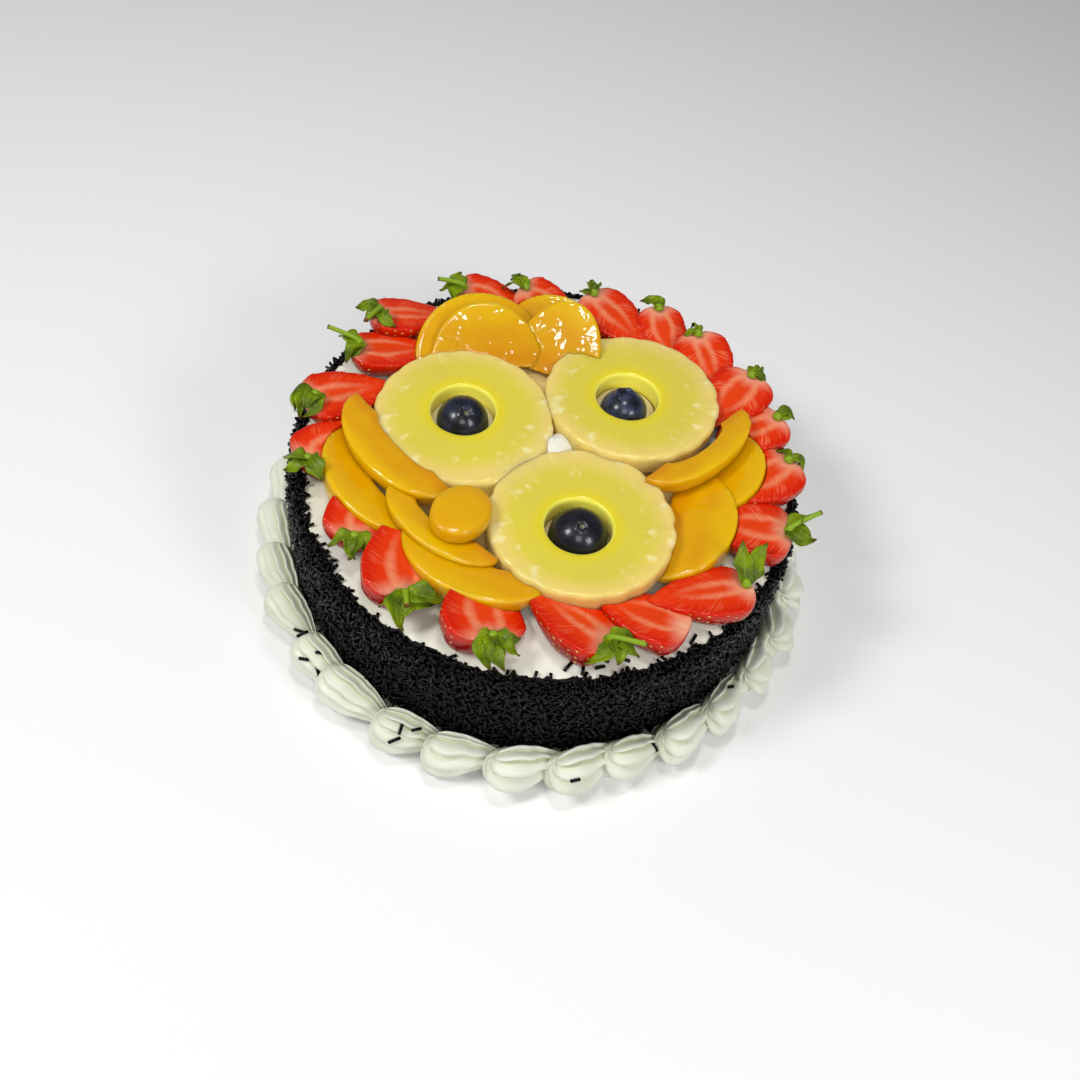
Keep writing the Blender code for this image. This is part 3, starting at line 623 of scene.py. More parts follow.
def close_tree(tree, end, instances, material):
    real = add_node(tree, "GeometryNodeRealizeInstances", {"Geometry": instances}).outputs[0]
    done = add_node(tree, "GeometryNodeSetMaterial", {"Geometry": real}).outputs[0]
    tree.links.new(material, done.node.inputs["Material"])
    smooth = add_node(tree, "GeometryNodeSetShadeSmooth", {"Geometry": done}).outputs[0]
    tree.links.new(smooth, end.inputs[0])


def scatter_tree():
    """Scatters one shape over a surface: apart by a distance, spun freely, tilted up to a limit."""
    tree, start, end = new_tree("scatter_on_surface", (
        ("Shape", "NodeSocketObject"), ("Apart", "NodeSocketFloat"), ("Tilt", "NodeSocketFloat"),
        ("Seed", "NodeSocketInt"), ("Finish", "NodeSocketMaterial"),
    ))
    values = {
        "Mesh": start.outputs["Geometry"], "Distance Min": start.outputs["Apart"],
        "Density Max": 1.0e6, "Density Factor": carried(tree, "crowd"), "Seed": start.outputs["Seed"],
    }
    spots = add_node(tree, "GeometryNodeDistributePointsOnFaces", values, distribute_method="POISSON")
    spin = random_number(tree, 0.0, 2 * math.pi, 1)
    lean = random_number(tree, 0.0, start.outputs["Tilt"], 2)
    facing = rotated(tree, rotated(tree, spots.outputs["Rotation"], z=spin), y=lean)
    shape = add_node(tree, "GeometryNodeObjectInfo", {"Object": start.outputs["Shape"]})
    stretch = together(tree, random_number(tree, 0.72, 1.25, 3), 1.0, 1.0)
    rods = add_node(tree, "GeometryNodeInstanceOnPoints", {
        "Points": spots.outputs["Points"], "Instance": shape.outputs["Geometry"],
        "Rotation": facing, "Scale": stretch,
    })
    close_tree(tree, end, rods.outputs[0], start.outputs["Finish"])
    return tree


def spots_tree():
    """Puts shapes on points that carry their own facing, size and kind of shape."""
    tree, start, end = new_tree("shapes_on_spots", (
        ("Kinds", "NodeSocketCollection"), ("Finish", "NodeSocketMaterial"),
    ))
    spots = add_node(tree, "GeometryNodeMeshToPoints", {"Mesh": start.outputs["Geometry"]}).outputs[0]
    values = {"Collection": start.outputs["Kinds"], "Separate Children": True, "Reset Children": True}
    kinds = add_node(tree, "GeometryNodeCollectionInfo", values).outputs[0]
    facing = carried(tree, "facing", "FLOAT_VECTOR")
    shapes = add_node(tree, "GeometryNodeInstanceOnPoints", {
        "Points": spots, "Instance": kinds, "Pick Instance": True, "Instance Index": carried(tree, "kind"),
        "Rotation": add_node(tree, "FunctionNodeEulerToRotation", {0: facing}).outputs[0],
        "Scale": carried(tree, "size", "FLOAT_VECTOR"),
    })
    close_tree(tree, end, shapes.outputs[0], start.outputs["Finish"])
    return tree


def kinds_of(name, objects):
    """A collection outside the scene, whose objects the tree can pick by number."""
    collection = bpy.data.collections.new(name)
    for each in objects:
        collection.objects.link(each)
    return collection


def set_on_spots(name, kinds, spots, facings, sizes, picks, material):
    mesh = bpy.data.meshes.new(name)
    mesh.from_pydata(spots, [], [])
    store(mesh, "facing", facings, "FLOAT_VECTOR")
    store(mesh, "size", sizes, "FLOAT_VECTOR")
    store(mesh, "kind", picks)
    made = object_of(name, mesh)
    made.data = run_tree(made, ON_SPOTS, {"Kinds": kinds, "Finish": material})
    return made


ONE_SPRINKLE = object_of("one_sprinkle", sprinkle_mesh(), linked=False)
SCATTER = scatter_tree()
ON_SPOTS = spots_tree()
print("a sprinkle has", len(ONE_SPRINKLE.data.polygons), "faces")

# %% Sprinkles on the side
BAND_COLUMNS = 360
BAND_ROWS = 40
BAND_FOOT = 11.0
BAND_INWARD = 97.0
SPARSE_BELOW = 26.0          # in the lowest part of the side some cream shows through
SPARSE_OVER = 14.0
# where more sprinkles reach in over the rim: bearing, how far in they reach, half width
CLUMPS = ((196, 101.5, 7), (203, 101, 6), (183, 102, 6), (222, 100.8, 5), (330, 101.5, 4), (352, 101.5, 5))


def sprinkle_band(name, lift, foot, inward):
    """The surface that sprinkles lie on: up the side, over the shoulder and onto the top."""
    heights = np.linspace(foot, CAKE_TOP - RIM_ROUND, BAND_ROWS)
    profile = [(CAKE_RADIUS + lift, height) for height in heights]
    for angle in np.linspace(0, math.pi / 2, 9)[1:]:
        reach = RIM_ROUND + lift
        profile.append((
            CAKE_RADIUS - RIM_ROUND + reach * math.cos(angle),
            CAKE_TOP - RIM_ROUND + reach * math.sin(angle),
        ))
    profile += [(radius, CAKE_TOP + lift) for radius in np.linspace(CAKE_RADIUS - RIM_ROUND - 0.7, inward, 6)]
    radius, height, angle = lathe_grid(np.array(profile), BAND_COLUMNS)
    return open_skin(name, turned_points(radius, angle, height))


def crowding(mesh, edge, sparse_foot):
    """How crowded the sprinkles are at each point, from 0 to 1."""
    points = points_of(mesh) / MM
    reach = np.hypot(points[:, 0], points[:, 1])
    bearing = np.degrees(np.arctan2(points[:, 1], points[:, 0]))
    ragged = wobble(points[:, 0], points[:, 1], points[:, 2], 5, 9)
    limit = edge + 1.4 * ragged
    for middle, radius, width in CLUMPS:
        off = (bearing - middle + 180) % 360 - 180
        limit -= (edge - radius) * np.exp(-((off / width) ** 2))
    crowd = np.clip((reach - limit) / 0.8, 0, 1)
    patches = wobble(points[:, 0], points[:, 1], points[:, 2], 9, 3)
    low = np.clip((SPARSE_BELOW - points[:, 2]) / SPARSE_OVER, 0, 1)
    return crowd * (1 - sparse_foot * low * np.clip(patches + 0.35, 0, 1))


def sprinkle_layer(name, lift, edge, apart, tilt, seed, sparse_foot):
    band = sprinkle_band(name, lift, BAND_FOOT, BAND_INWARD)
    store(band, "crowd", crowding(band, edge, sparse_foot))
    made = object_of(name, band)
    made.data = run_tree(made, SCATTER, {
        "Shape": ONE_SPRINKLE, "Apart": apart * MM, "Tilt": math.radians(tilt),
        "Seed": seed, "Finish": CHOCOLATE,
    })
    dress(made, CHOCOLATE, "chocolate_sprinkled_cream", "cake_body")
    print(name, "has", len(made.data.polygons) // len(ONE_SPRINKLE.data.polygons), "rods")


sprinkle_layer("sprinkles_flat", lift=0.35, edge=103.2, apart=1.75, tilt=14, seed=4, sparse_foot=0.5)
sprinkle_layer("sprinkles_loose", lift=1.15, edge=104.4, apart=2.0, tilt=48, seed=9, sparse_foot=0.9)

# %% [markdown]
# ## The piped border
# A star tube squeezes out a fat ribbed head, and as the hand pulls away the shell runs out to
# a thin tail, which the next head covers. The ribs fan out from a small hollow in the front of
# the head, arch over it and sweep together at the tail, like the ribs of a sea shell. Each
# swells slowly and ends in a steep lip, so the crease beside it is sharp. The plain outline of
# a shell is a formula, and rays from a point low inside it find where each rib crosses it. The
# mesh has its columns along the ribs, so the creases stay crisp. A few different shells are
# made once, and the tree sets them round the cake with their own turn and size, the way a
# decorator's hand varies.

# %% Shell shapes
SHELL_COUNT = 30
SHELL_LENGTH = 35.0
SHELL_WIDTH = 20.0
SHELL_HEIGHT = 25.0
SHELL_SLANT = 14.0
SHELL_SETTLE = 9.5
BORDER_MIDDLE = 114.0
BORDER_WALL = 107.2
SHELL_ROWS = 44
# places across one lobe, crowded towards its steep edge
LOBE_SHARES = np.array([0.0, 0.10, 0.24, 0.40, 0.56, 0.72, 0.85, 0.93, 0.975])
LOBE_FAN = (0.22 * math.pi, 1.48 * math.pi)
# for each kind: lobes, how far they sweep sideways in radians, depth of the creases, and how
# far the root lies to the side in mm. First the shells with many ribs, on the cake's left
SHELL_KINDS = (
    (7, 0.3, 0.34, -3.0), (8, 0.6, 0.32, -4.0), (7, 0.7, 0.36, -2.5), (6, 0.4, 0.38, -3.5),
    (5, 0.3, 0.42, -3.0), (6, 0.2, 0.40, -4.0), (5, 0.5, 0.42, -2.5),
)
MANY_RIBBED = 4
ROOT_AHEAD = 0.10
ROOT_HEIGHT = 0.16
HEAD_HOLLOW = 0.18


def shell_girth(share):
    """How thick a shell is along its length: a full head that runs out to a thin tail."""
    share = np.clip(share, 0, 1)
    return np.sin(math.pi * share**0.60) ** 0.65 * (1 - 0.28 * share)


def reach_of_shell(start, rays):
    """How far each ray goes from the start to the plain outline of the shell, in mm."""
    near = np.zeros(rays.shape[:-1])
    far = np.full(rays.shape[:-1], 2 * SHELL_LENGTH)
    for _ in range(30):
        middle = (near + far) / 2
        points = start + rays * middle[..., None]
        share = 0.5 - points[..., 0] / SHELL_LENGTH
        girth = np.maximum(shell_girth(share), 1e-6)
        across = 2 * points[..., 1] / (SHELL_WIDTH * girth)
        upward = 2 * points[..., 2] / (SHELL_HEIGHT * girth)
        inside = (across**2 + upward**2 < 1) & (share > 0) & (share < 1)
        near = np.where(inside, middle, near)
        far = np.where(inside, far, middle)
    return near


def lobe_fan(lobes, rng):
    """The bearing of each column of points round the shell, and how far its lobe swells."""
    widths = rng.uniform(0.75, 1.25, lobes)
    widths *= (LOBE_FAN[1] - LOBE_FAN[0]) / widths.sum()
    edges = LOBE_FAN[0] + np.concatenate([[0], np.cumsum(widths)[:-1]])
    profile = np.sin(math.pi * LOBE_SHARES**2.2) ** 0.7
    fan = (edges[:, None] + widths[:, None] * LOBE_SHARES[None, :]).ravel()
    lobe = (np.tile(profile, (lobes, 1)) * rng.uniform(0.9, 1.1, lobes)[:, None]).ravel()
    below = np.linspace(LOBE_FAN[1], LOBE_FAN[0] + 2 * math.pi, 7)[:-1]
    return np.concatenate([fan, below]), np.concatenate([lobe, np.zeros(len(below))])


def shell_mesh(kind, number):
    lobes, sweep, crease, root_side = kind
    fan, lobe = lobe_fan(lobes, np.random.default_rng(number))
    tail = np.array([-0.5 * SHELL_LENGTH, 0, 0])
    root = np.array([ROOT_AHEAD * SHELL_LENGTH, root_side, ROOT_HEIGHT * SHELL_HEIGHT])
    axis = (tail - root) / np.linalg.norm(tail - root)
    upward = np.array([0, 0, 1]) - axis * axis[2]
    upward /= np.linalg.norm(upward)
    side = np.cross(upward, axis)
    start = root + 0.12 * (tail - root)
    polar = np.linspace(0, math.pi, SHELL_ROWS + 2)[1:-1]
    polar = polar - 0.35 * np.sin(polar)
    polar, bearing = np.meshgrid(polar, fan, indexing="ij")
    bearing = bearing + sweep * (polar / math.pi) ** 3 + 0.05 * np.sin(5 * polar + number)
    around = np.cos(bearing)[..., None] * side + np.sin(bearing)[..., None] * upward
    rays = np.cos(polar)[..., None] * axis + np.sin(polar)[..., None] * around
    hollow = np.clip((polar / math.pi - 0.80) / 0.20, 0, 1) ** 2
    points = start + rays * (reach_of_shell(start, rays) * (1 - HEAD_HOLLOW * hollow))[..., None]
    off = points - start
    off = off - axis * (off @ axis)[..., None]
    points = points - off * (crease * (1 - np.minimum(lobe, 1)) - 0.10 * crease)[None, :, None]
    soft = wobble(points[..., 0], points[..., 1], points[..., 2], 9, 11.3 * number)
    fine = wobble(points[..., 0] * 0.3, points[..., 1], points[..., 2], 1.7, 5.1 * number)
    points = points + off * (0.05 * soft + 0.010 * fine)[..., None]
    shares = ((axis, 1), (-axis, 1 - HEAD_HOLLOW))
    ends = [start + ray * reach_of_shell(start, ray[None])[0] * share for ray, share in shares]
    mesh = skin_over("shell_%d" % number, points, *ends)
    fold = np.broadcast_to((1 - np.minimum(lobe, 1))[None, :], polar.shape)
    store(mesh, "fold", [*fold.ravel(), 0, 0])
    return mesh


shell_kinds = kinds_of("shell_kinds", [
    object_of("shell_kind_%d" % number, shell_mesh(kind, number), linked=False)
    for number, kind in enumerate(SHELL_KINDS)
])

# %% Shells round the cake
LEFT_BEARINGS = (90, 258)


def border_spots(rng):
    """Where each shell sits, which way it faces, how big it is and of which kind."""
    spots, facings, sizes, kinds = [], [], [], []
    for index in range(SHELL_COUNT):
        bearing = 360 * (index + rng.uniform(-0.12, 0.12)) / SHELL_COUNT
        slant = SHELL_SLANT + math.degrees(rng.uniform(-0.1, 0.1))
        spot = heading(bearing) * BORDER_MIDDLE
        spot.z = SHELL_SETTLE + rng.uniform(-0.4, 0.4)
        facing = turn(bearing - 90 + slant, "Z") @ turn(-10 + rng.uniform(-4, 4), "Y")
        size = rng.uniform(0.95, 1.06)
        spots.append(spot * MM)
        facings.append(facing.to_euler())
        sizes.append((size * rng.uniform(0.96, 1.08), size, size))
        on_left = LEFT_BEARINGS[0] < bearing % 360 < LEFT_BEARINGS[1]
        few = (0, MANY_RIBBED - 1) if on_left else (MANY_RIBBED - 1, len(SHELL_KINDS) - 1)
        kinds.append(rng.randint(*few))
    return spots, facings, sizes, kinds


def piped_border():
    """Sets the shells, then presses them flat against the cake's side and on the board."""
    made = set_on_spots("piped_shells", shell_kinds, *border_spots(random.Random(11)), PIPED)
    points = points_of(made.data) / MM
    reach = np.hypot(points[:, 0], points[:, 1])
    push = np.maximum(1, BORDER_WALL / reach)
    points[:, 0] *= push
    points[:, 1] *= push
    points[:, 2] = np.maximum(points[:, 2], 0)
    set_points(made.data, points * MM)
    return made


border = piped_border()
dress(border, PIPED, "piped_cream", "piped_border")
print("the border has", len(border.data.polygons), "faces")

# %% [markdown]
# ## Where the fruit lies
# The fruit is laid out as a decorator would: a fan of halved strawberries round the edge with
# their tips inwards, peach slices over the tips, three pineapple rings in the middle and a
# blueberry in each ring's hole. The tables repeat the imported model's own places, in
# millimetres from the cake's axis, with bearings in degrees from +X, anticlockwise from above.

# %% Tables of the fruit
Ring = namedtuple("Ring", "name x y rise_x rise_y eye_x eye_y over")
Blueberry = namedtuple("Blueberry", "name x y z radius lean toward")
Berry = namedtuple("Berry", "name x y points_to length width depth roll pitch sink")
Leaves = namedtuple("Leaves", "name berry inset turn count spread length lift stem stem_turn")
Slice = namedtuple("Slice", "name x y z half_length depth wedge pit faces lean")

RINGS = (
    Ring("pineapple_ring_left", -37.8, 8.9, 0.0, 0.0, -0.9, 2.3, "pineapple_ring_back"),
    Ring("pineapple_ring_back", 31.1, 35.4, 0.036, -0.045, -2.1, -1.7, "pineapple_ring_front"),
    Ring("pineapple_ring_front", 17.6, -36.3, 0.028, -0.045, -0.7, -3.4, "pineapple_ring_left"),
)
BLUEBERRIES = (
    Blueberry("blueberry_left", -38.4, 9.3, 5.0, 11.0, 22, 300),
    Blueberry("blueberry_back", 28.4, 30.9, 6.0, 10.2, 12, 100),
    Blueberry("blueberry_front", 17.4, -40.6, 6.0, 12.0, 14, 285),
)
BERRIES = (
    Berry("strawberry_01", -95, -31, 60, 36, 27, 0.45, 6, 6, 4),
    Berry("strawberry_02", -104, 1, 31, 40, 27, 0.45, -3, 6, 3),
    Berry("strawberry_03", -93, 35, 21, 40, 25, 0.45, -10, 7, 3),
    Berry("strawberry_04", -90, 58, 17, 42, 25, 0.45, -10, 7, 3),
    Berry("strawberry_05", -55, 83, 0, 36, 27, 0.45, 0, 8, 3),
    Berry("strawberry_06", -27, 92, -20, 32, 27, 0.45, 0, 8, 3),
    Berry("strawberry_07", 5, 96, -40, 40, 27, 0.45, -3, 8, 3),
    Berry("strawberry_08", 37, 97, -68, 38, 23, 0.45, 0, 8, 3),
    Berry("strawberry_09", 56, 83, -66, 38, 26, 0.45, 3, 8, 3),
    Berry("strawberry_10", 84, 62, 239, 38, 28, 0.45, 4, 7, 3),
    Berry("strawberry_11", 97, 40, 218, 36, 26, 0.45, 4, 6, 3),
    Berry("strawberry_12", 102, 16, 222, 38, 28, 0.48, 10, 6, 4),
    Berry("strawberry_13", 102, -24, 178, 38, 30, 0.48, 8, 5, 4),
    Berry("strawberry_14", 87, -52, 199, 42, 26, 0.5, 14, 4, 4),
    Berry("strawberry_15", 64, -76, 166, 38, 26, 0.5, 14, 4, 4),
    Berry("strawberry_16", 36, -89, 152, 40, 28, 0.52, 20, 2, 5),
    Berry("strawberry_17", -7, -97, 116, 33, 33, 0.5, 22, 0, 6),
    Berry("strawberry_18", -42, -86, 106, 40, 32, 0.5, 20, 0, 6),
    Berry("strawberry_19", -67, -64, 92, 36, 28, 0.48, 16, 2, 5),
)
LEAVES = (
    Leaves("strawberry_leaves_01", "strawberry_01", 2, 20, 4, 150, 12, 0, 0, 0),
    Leaves("strawberry_leaves_02", "strawberry_02", 5, 40, 4, 140, 13, 1, 0, 0),
    Leaves("strawberry_leaves_03", "strawberry_03", 5, 25, 3, 120, 12, 1, 15, -50),
    Leaves("strawberry_leaves_04", "strawberry_04", 5, 35, 3, 130, 12, 1, 14, 25),
    Leaves("strawberry_leaves_05", "strawberry_05", 3, 0, 3, 130, 12, 0, 12, 15),
    Leaves("strawberry_leaves_06", "strawberry_06", 3, 0, 3, 110, 10, 1, 0, 0),
    Leaves("strawberry_leaves_07", "strawberry_07", 3, 0, 3, 110, 9, 0, 0, 0),
    Leaves("strawberry_leaves_08", "strawberry_08", 3, 0, 3, 130, 9, 1, 0, 0),
    Leaves("strawberry_leaves_09", "strawberry_09", 3, 0, 3, 120, 8, 0, 0, 0),
    Leaves("strawberry_leaves_10", "strawberry_10", 3, 0, 3, 130, 8, 0, 0, 0),
    Leaves("strawberry_leaves_11", "strawberry_11", 3, 0, 3, 110, 8, 0, 0, 0),
    Leaves("strawberry_leaves_12", "strawberry_12", 3, 0, 3, 130, 8, 0, 0, 0),
    Leaves("strawberry_leaves_13", "strawberry_13", 2, 0, 4, 150, 12, 3, 14, 35),
    Leaves("strawberry_leaves_14", "strawberry_14", 3, 80, 2, 70, 17, 9, 0, 0),
    Leaves("strawberry_leaves_16", "strawberry_16", 2, 0, 4, 140, 12, 1, 14, 15),
    Leaves("strawberry_leaves_17", "strawberry_17", 2, 0, 4, 140, 13, 0, 0, 0),
    Leaves("strawberry_leaves_18", "strawberry_18", 2, 0, 5, 150, 14, 1, 8, 0),
    Leaves("strawberry_leaves_19", "strawberry_19", 2, 0, 4, 150, 13, 0, 0, 0),
)
UPPER_SLICES = (
    Slice("peach_disc", -29, -46.5, 15.0, 11.2, 14.0, 0, 0.0, 250, 8),
    Slice("peach_slice_01", -57.5, -12.5, 12.5, 33, 20, 42, 0.2, 229, -16),
    Slice("peach_slice_10", 58.5, 14.5, 13.0, 31, 16, 46, 0.35, 322, -12),
    Slice("peach_slice_04", -19.5, -57, 9.0, 31, 23, 30, 0.2, 252, -5),
)
LOWER_SLICES = (
    Slice("peach_slice_03", -34, -46, 11.5, 28, 16, 36, 0.3, 238, -10),
    Slice("peach_slice_07", -33, 41, 4.0, 25, 30, 14, 0.0, 105, 24),
    Slice("peach_slice_09", -7, 43, 4.0, 21, 37, 14, 0.0, 78, 19),
    Slice("peach_slice_08", -10, 61, 1.5, 25, 27, 24, 0.0, 80, 16),
    Slice("peach_slice_06", -34, 48, 1.5, 32, 32, 24, 0.0, 125, 16),
    Slice("peach_slice_02", -61, -26, 4.0, 32, 25, 28, 0.3, 222, 3),
    Slice("peach_slice_12", 50, -22, 3.5, 31, 29, 24, 0.0, 350, 4),
    Slice("peach_slice_11", 66, 9, 3.0, 26, 24, 28, 0.0, 345, 6),
)
print(len(RINGS), "rings,", len(BLUEBERRIES), "blueberries,", len(BERRIES), "strawberry halves")

# %% [markdown]
# ## Pineapple rings
# A canned ring is a slice across the fruit with the core punched out. Its fibres run from the
# hole to the rim, the flesh is clear and wet near the hole and paler at the rim, and short
# notches are left where the eyes were cut away. The ring is a closed skin: a section goes
# round, and the section itself is a rounded rectangle whose outer end is notched.

# %% Ring shapes
RING_RADIUS = 38.1
RING_HOLE = 13.5
RING_THICKNESS = 10.0
RING_COLUMNS = 240
RING_NOTCHES = 18
RING_NOTCH_DEPTH = 1.0


def ring_section():
    """(share from hole to rim, height) round the section, with soft corners."""
    half = RING_THICKNESS / 2
    section = [(share, half) for share in np.linspace(0.07, 0.88, 26)]
    for angle in np.linspace(math.pi / 2, 0, 9)[1:]:
        section.append((0.905 + 0.095 * math.cos(angle), half - 2.6 + 2.6 * math.sin(angle)))
    section += [(1.0, height) for height in np.linspace(half - 3.6, -half + 0.9, 4)]
    section += [(0.985, -half + 0.1)]
    section += [(share, -half) for share in np.linspace(0.93, 0.06, 8)]
    section += [(0.012, -half + 0.3)]
    section += [(0.0, height) for height in np.linspace(-half + 1, half - 1.6, 6)]
    section += [(0.012, half - 0.7), (0.035, half - 0.2)]
    return np.array(section)


def ring_mesh(ring, number):
    share, height, angle = lathe_grid(ring_section(), RING_COLUMNS)
    rim_x, rim_y = np.cos(angle), np.sin(angle)
    uneven = wobble(rim_x * 9, rim_y * 9, np.full_like(angle, number), 4.2)
    notch = (0.5 - 0.5 * np.cos(RING_NOTCHES * angle + 0.8 * uneven)) ** 2.2
    rim = RING_RADIUS - RING_NOTCH_DEPTH * notch * (0.6 + 0.6 * uneven) + 0.3 * uneven
    hole = RING_HOLE + 0.2 * wobble(rim_x * 5, rim_y * 5, np.full_like(angle, 7 + number), 3)
    x = rim_x * (hole + share * (rim - hole)) + (1 - share) * ring.eye_x
    y = rim_y * (hole + share * (rim - hole)) + (1 - share) * ring.eye_y
    upper = height > 0
    fibre = wobble(rim_x * 60, rim_y * 60, share * 3 + number, 2.0)
    broad = wobble(x, y, np.full_like(x, 3.0 * number), 13)
    sunk = np.exp(-(((share - 0.86) / 0.08) ** 2)) * notch
    height = height + np.where(upper, 0.05 * fibre + 0.25 * broad - 0.35 * sunk, 0)
    return point_outwards(open_skin("ring", np.stack([x, y, height], axis=-1), joined=True))


def settle(mesh, matrix, level):
    """The matrix with a lift, so that the mesh's lowest point comes to the level."""
    points = points_of(mesh) / MM
    turned = points @ np.array(matrix)[:3, :3].T + np.array(matrix)[:3, 3]
    return Matrix.Translation((0, 0, level - turned[:, 2].min())) @ matrix


def put(made, matrix):
    """Moves the mesh's points by a matrix in mm, and remembers it for later."""
    made.data.transform(scaled_place(matrix))
    FRAMES[made.name] = matrix


FRAMES = {}
rings = []
for number, ring in enumerate(RINGS):
    made = object_of(ring.name + "_flesh", ring_mesh(ring, number))
    slope = Matrix.Identity(4)
    slope[2][0] = ring.rise_x
    slope[2][1] = ring.rise_y
    place = Matrix.Translation((ring.x, ring.y, 0)) @ slope
    put(made, settle(made.data, place, CAKE_TOP + CREAM_GAP))
    rings.append(made)
print("rings:", [len(made.data.polygons) for made in rings])

# %% [markdown]
# ## Blueberries
# A blueberry is a flattened ball. At its top the flower has left a round crown: a low wall
# with five points round a hollow. The wax on the skin, the bloom, makes it dull and blue
# where nothing has rubbed it off. The ball is a skin over rings, and the crown is pressed
# into the rings near the pole.

# %% Blueberry shapes
BLUEBERRY_FLATNESS = 0.92
BLUEBERRY_ROWS = 60
BLUEBERRY_COLUMNS = 80
# crown radius in mm, height of its wall, how much its wall goes up and down, depth of the hollow
CROWNS = {
    "blueberry_left": (2.6, 0.5, 0.3, 0.9),
    "blueberry_back": (3.9, 0.9, 1.0, 1.3),
    "blueberry_front": (2.0, 0.35, 0.3, 0.7),
}


def blueberry_mesh(berry):
    crown, wall, points, hollow = CROWNS[berry.name]
    polar, angle = ball_grid(BLUEBERRY_ROWS, BLUEBERRY_COLUMNS)
    polar = polar**1.25 / math.pi**0.25        # rows crowd towards the crown
    out = berry.radius * np.sin(polar)
    height = BLUEBERRY_FLATNESS * berry.radius * np.cos(polar)
    star = 0.5 + 0.5 * np.cos(5 * angle)
    lip = crown * (1 + 0.12 * star)
    rise = np.exp(-(((out - lip) / 0.42) ** 2)) * wall * (1 - points * 0.6 * (1 - star))
    sink = hollow * np.clip(1 - (out / lip) ** 2, 0, 1) ** 0.6
    height = height + np.where(polar < 1.2, rise - sink, 0)
    soft = 1 + 0.012 * wobble(out * np.cos(angle), out * np.sin(angle), height, 5, berry.radius)
    rings = turned_points(out * soft, angle, height)
    top = BLUEBERRY_FLATNESS * berry.radius - hollow
    return skin_over("blueberry", rings, (0, 0, top), (0, 0, -BLUEBERRY_FLATNESS * berry.radius))


def keep_above(made, level):
    """Flattens what would sink into the cream, and leaves the skin closed."""
    points = points_of(made.data)
    points[:, 2] = np.maximum(points[:, 2], level * MM)
    set_points(made.data, points)


blueberries = []
for berry in BLUEBERRIES:
    made = object_of(berry.name + "_skin", blueberry_mesh(berry))
    lean = Matrix.Rotation(math.radians(berry.lean), 4, heading(berry.toward + 90))
    put(made, Matrix.Translation((berry.x, berry.y, CAKE_TOP + berry.z)) @ lean)
    keep_above(made, CAKE_TOP + CREAM_GAP)
    blueberries.append(made)
print("blueberries:", [len(made.data.polygons) for made in blueberries])

# %% [markdown]
# ## Peach slices
# A canned peach is halved, stoned and cut into wedges, so a slice has two flat cut faces that
# meet in a thin edge, where the stone lay in its hollow, and a round outer side. Spinning the
# cut face's outline through the wedge's angle gives just that. The disc is the small round end
# of a half, cut off flat.

# %% Peach shapes
SLICE_EDGE = 1.5
PIT_LENGTH = 0.55
DISC_THICKNESS = 8.0
DISC_ROUND = 0.4         # 1 would be an ellipsoid, 0 a sharp-edged disc
DISC_ROWS = 22
DISC_COLUMNS = 48
SLICE_STEPS = 10


def slice_outline(piece):
    """The cut face as (along, outwards): the round rim, then the hollow of the stone."""
    rim = [math.pi * index / 40 for index in range(41)]
    outline = [
        (piece.half_length * math.cos(angle), SLICE_EDGE + piece.depth * math.sin(angle)) for angle in rim
    ]
    if piece.pit:
        hollow = [math.pi * (1 - index / 16) for index in range(17)]
        outline += [
            (
                PIT_LENGTH * piece.half_length * math.cos(angle),
                SLICE_EDGE + piece.pit * piece.depth * math.sin(angle),
            )
            for angle in hollow
        ]
    return outline


def slice_mesh(piece):
    bm = bmesh.new()
    half_wedge = math.radians(piece.wedge) / 2
    points = [bm.verts.new((along * MM, outward * MM, 0)) for along, outward in slice_outline(piece)]
    edges = [bm.edges.new(pair) for pair in zip(points, points[1:] + points[:1])]
    bmesh.ops.rotate(bm, verts=points, matrix=Matrix.Rotation(-half_wedge, 3, "X"))
    bmesh.ops.spin(bm, geom=points + edges, axis=(1, 0, 0), angle=2 * half_wedge, steps=SLICE_STEPS)
    bmesh.ops.holes_fill(bm, edges=[edge for edge in bm.edges if edge.is_boundary])
    mesh = bpy.data.meshes.new("slice")
    bm.to_mesh(mesh)
    bm.free()
    return point_outwards(mesh)


def disc_mesh(piece):
    polar, angle = ball_grid(DISC_ROWS, DISC_COLUMNS)
    out = np.sin(polar) ** DISC_ROUND
    half = DISC_THICKNESS / 2
    height = half * np.sign(np.cos(polar)) * np.abs(np.cos(polar)) ** DISC_ROUND
    rings = np.stack([
        piece.half_length * out * np.cos(angle), piece.depth * out * np.sin(angle), height,
    ], axis=-1)
    return skin_over("disc", rings, (0, 0, half), (0, 0, -half))


def peach_piece(piece):
    mesh = slice_mesh(piece) if piece.wedge else disc_mesh(piece)
    made = object_of(piece.name + "_flesh", mesh)
    spot = Matrix.Translation((piece.x, piece.y, CAKE_TOP + piece.z))
    put(made, spot @ turn(piece.faces - 90, "Z") @ turn(piece.lean, "X"))
    keep_above(made, CAKE_TOP + CREAM_GAP)
    return made


upper_slices = [peach_piece(piece) for piece in UPPER_SLICES]
lower_slices = [peach_piece(piece) for piece in LOWER_SLICES]
print(len(upper_slices) + len(lower_slices), "pieces of peach")

# %% [markdown]
# ## Strawberry halves
# Each berry is cut from the leafy end to the tip and lies on its round back, pressed a little
# into the cream and rolled so that its glossy flank shows. Its outline is broad near the
# leaves and narrows to the tip. The shape is a skin over half-round sections: the lower side
# follows the berry's girth and the upper side is the flat cut. The same girth says later where
# the pale lines of the core run, so the finish fits every berry.

# %% Strawberry shapes
BERRY_ROWS = 54


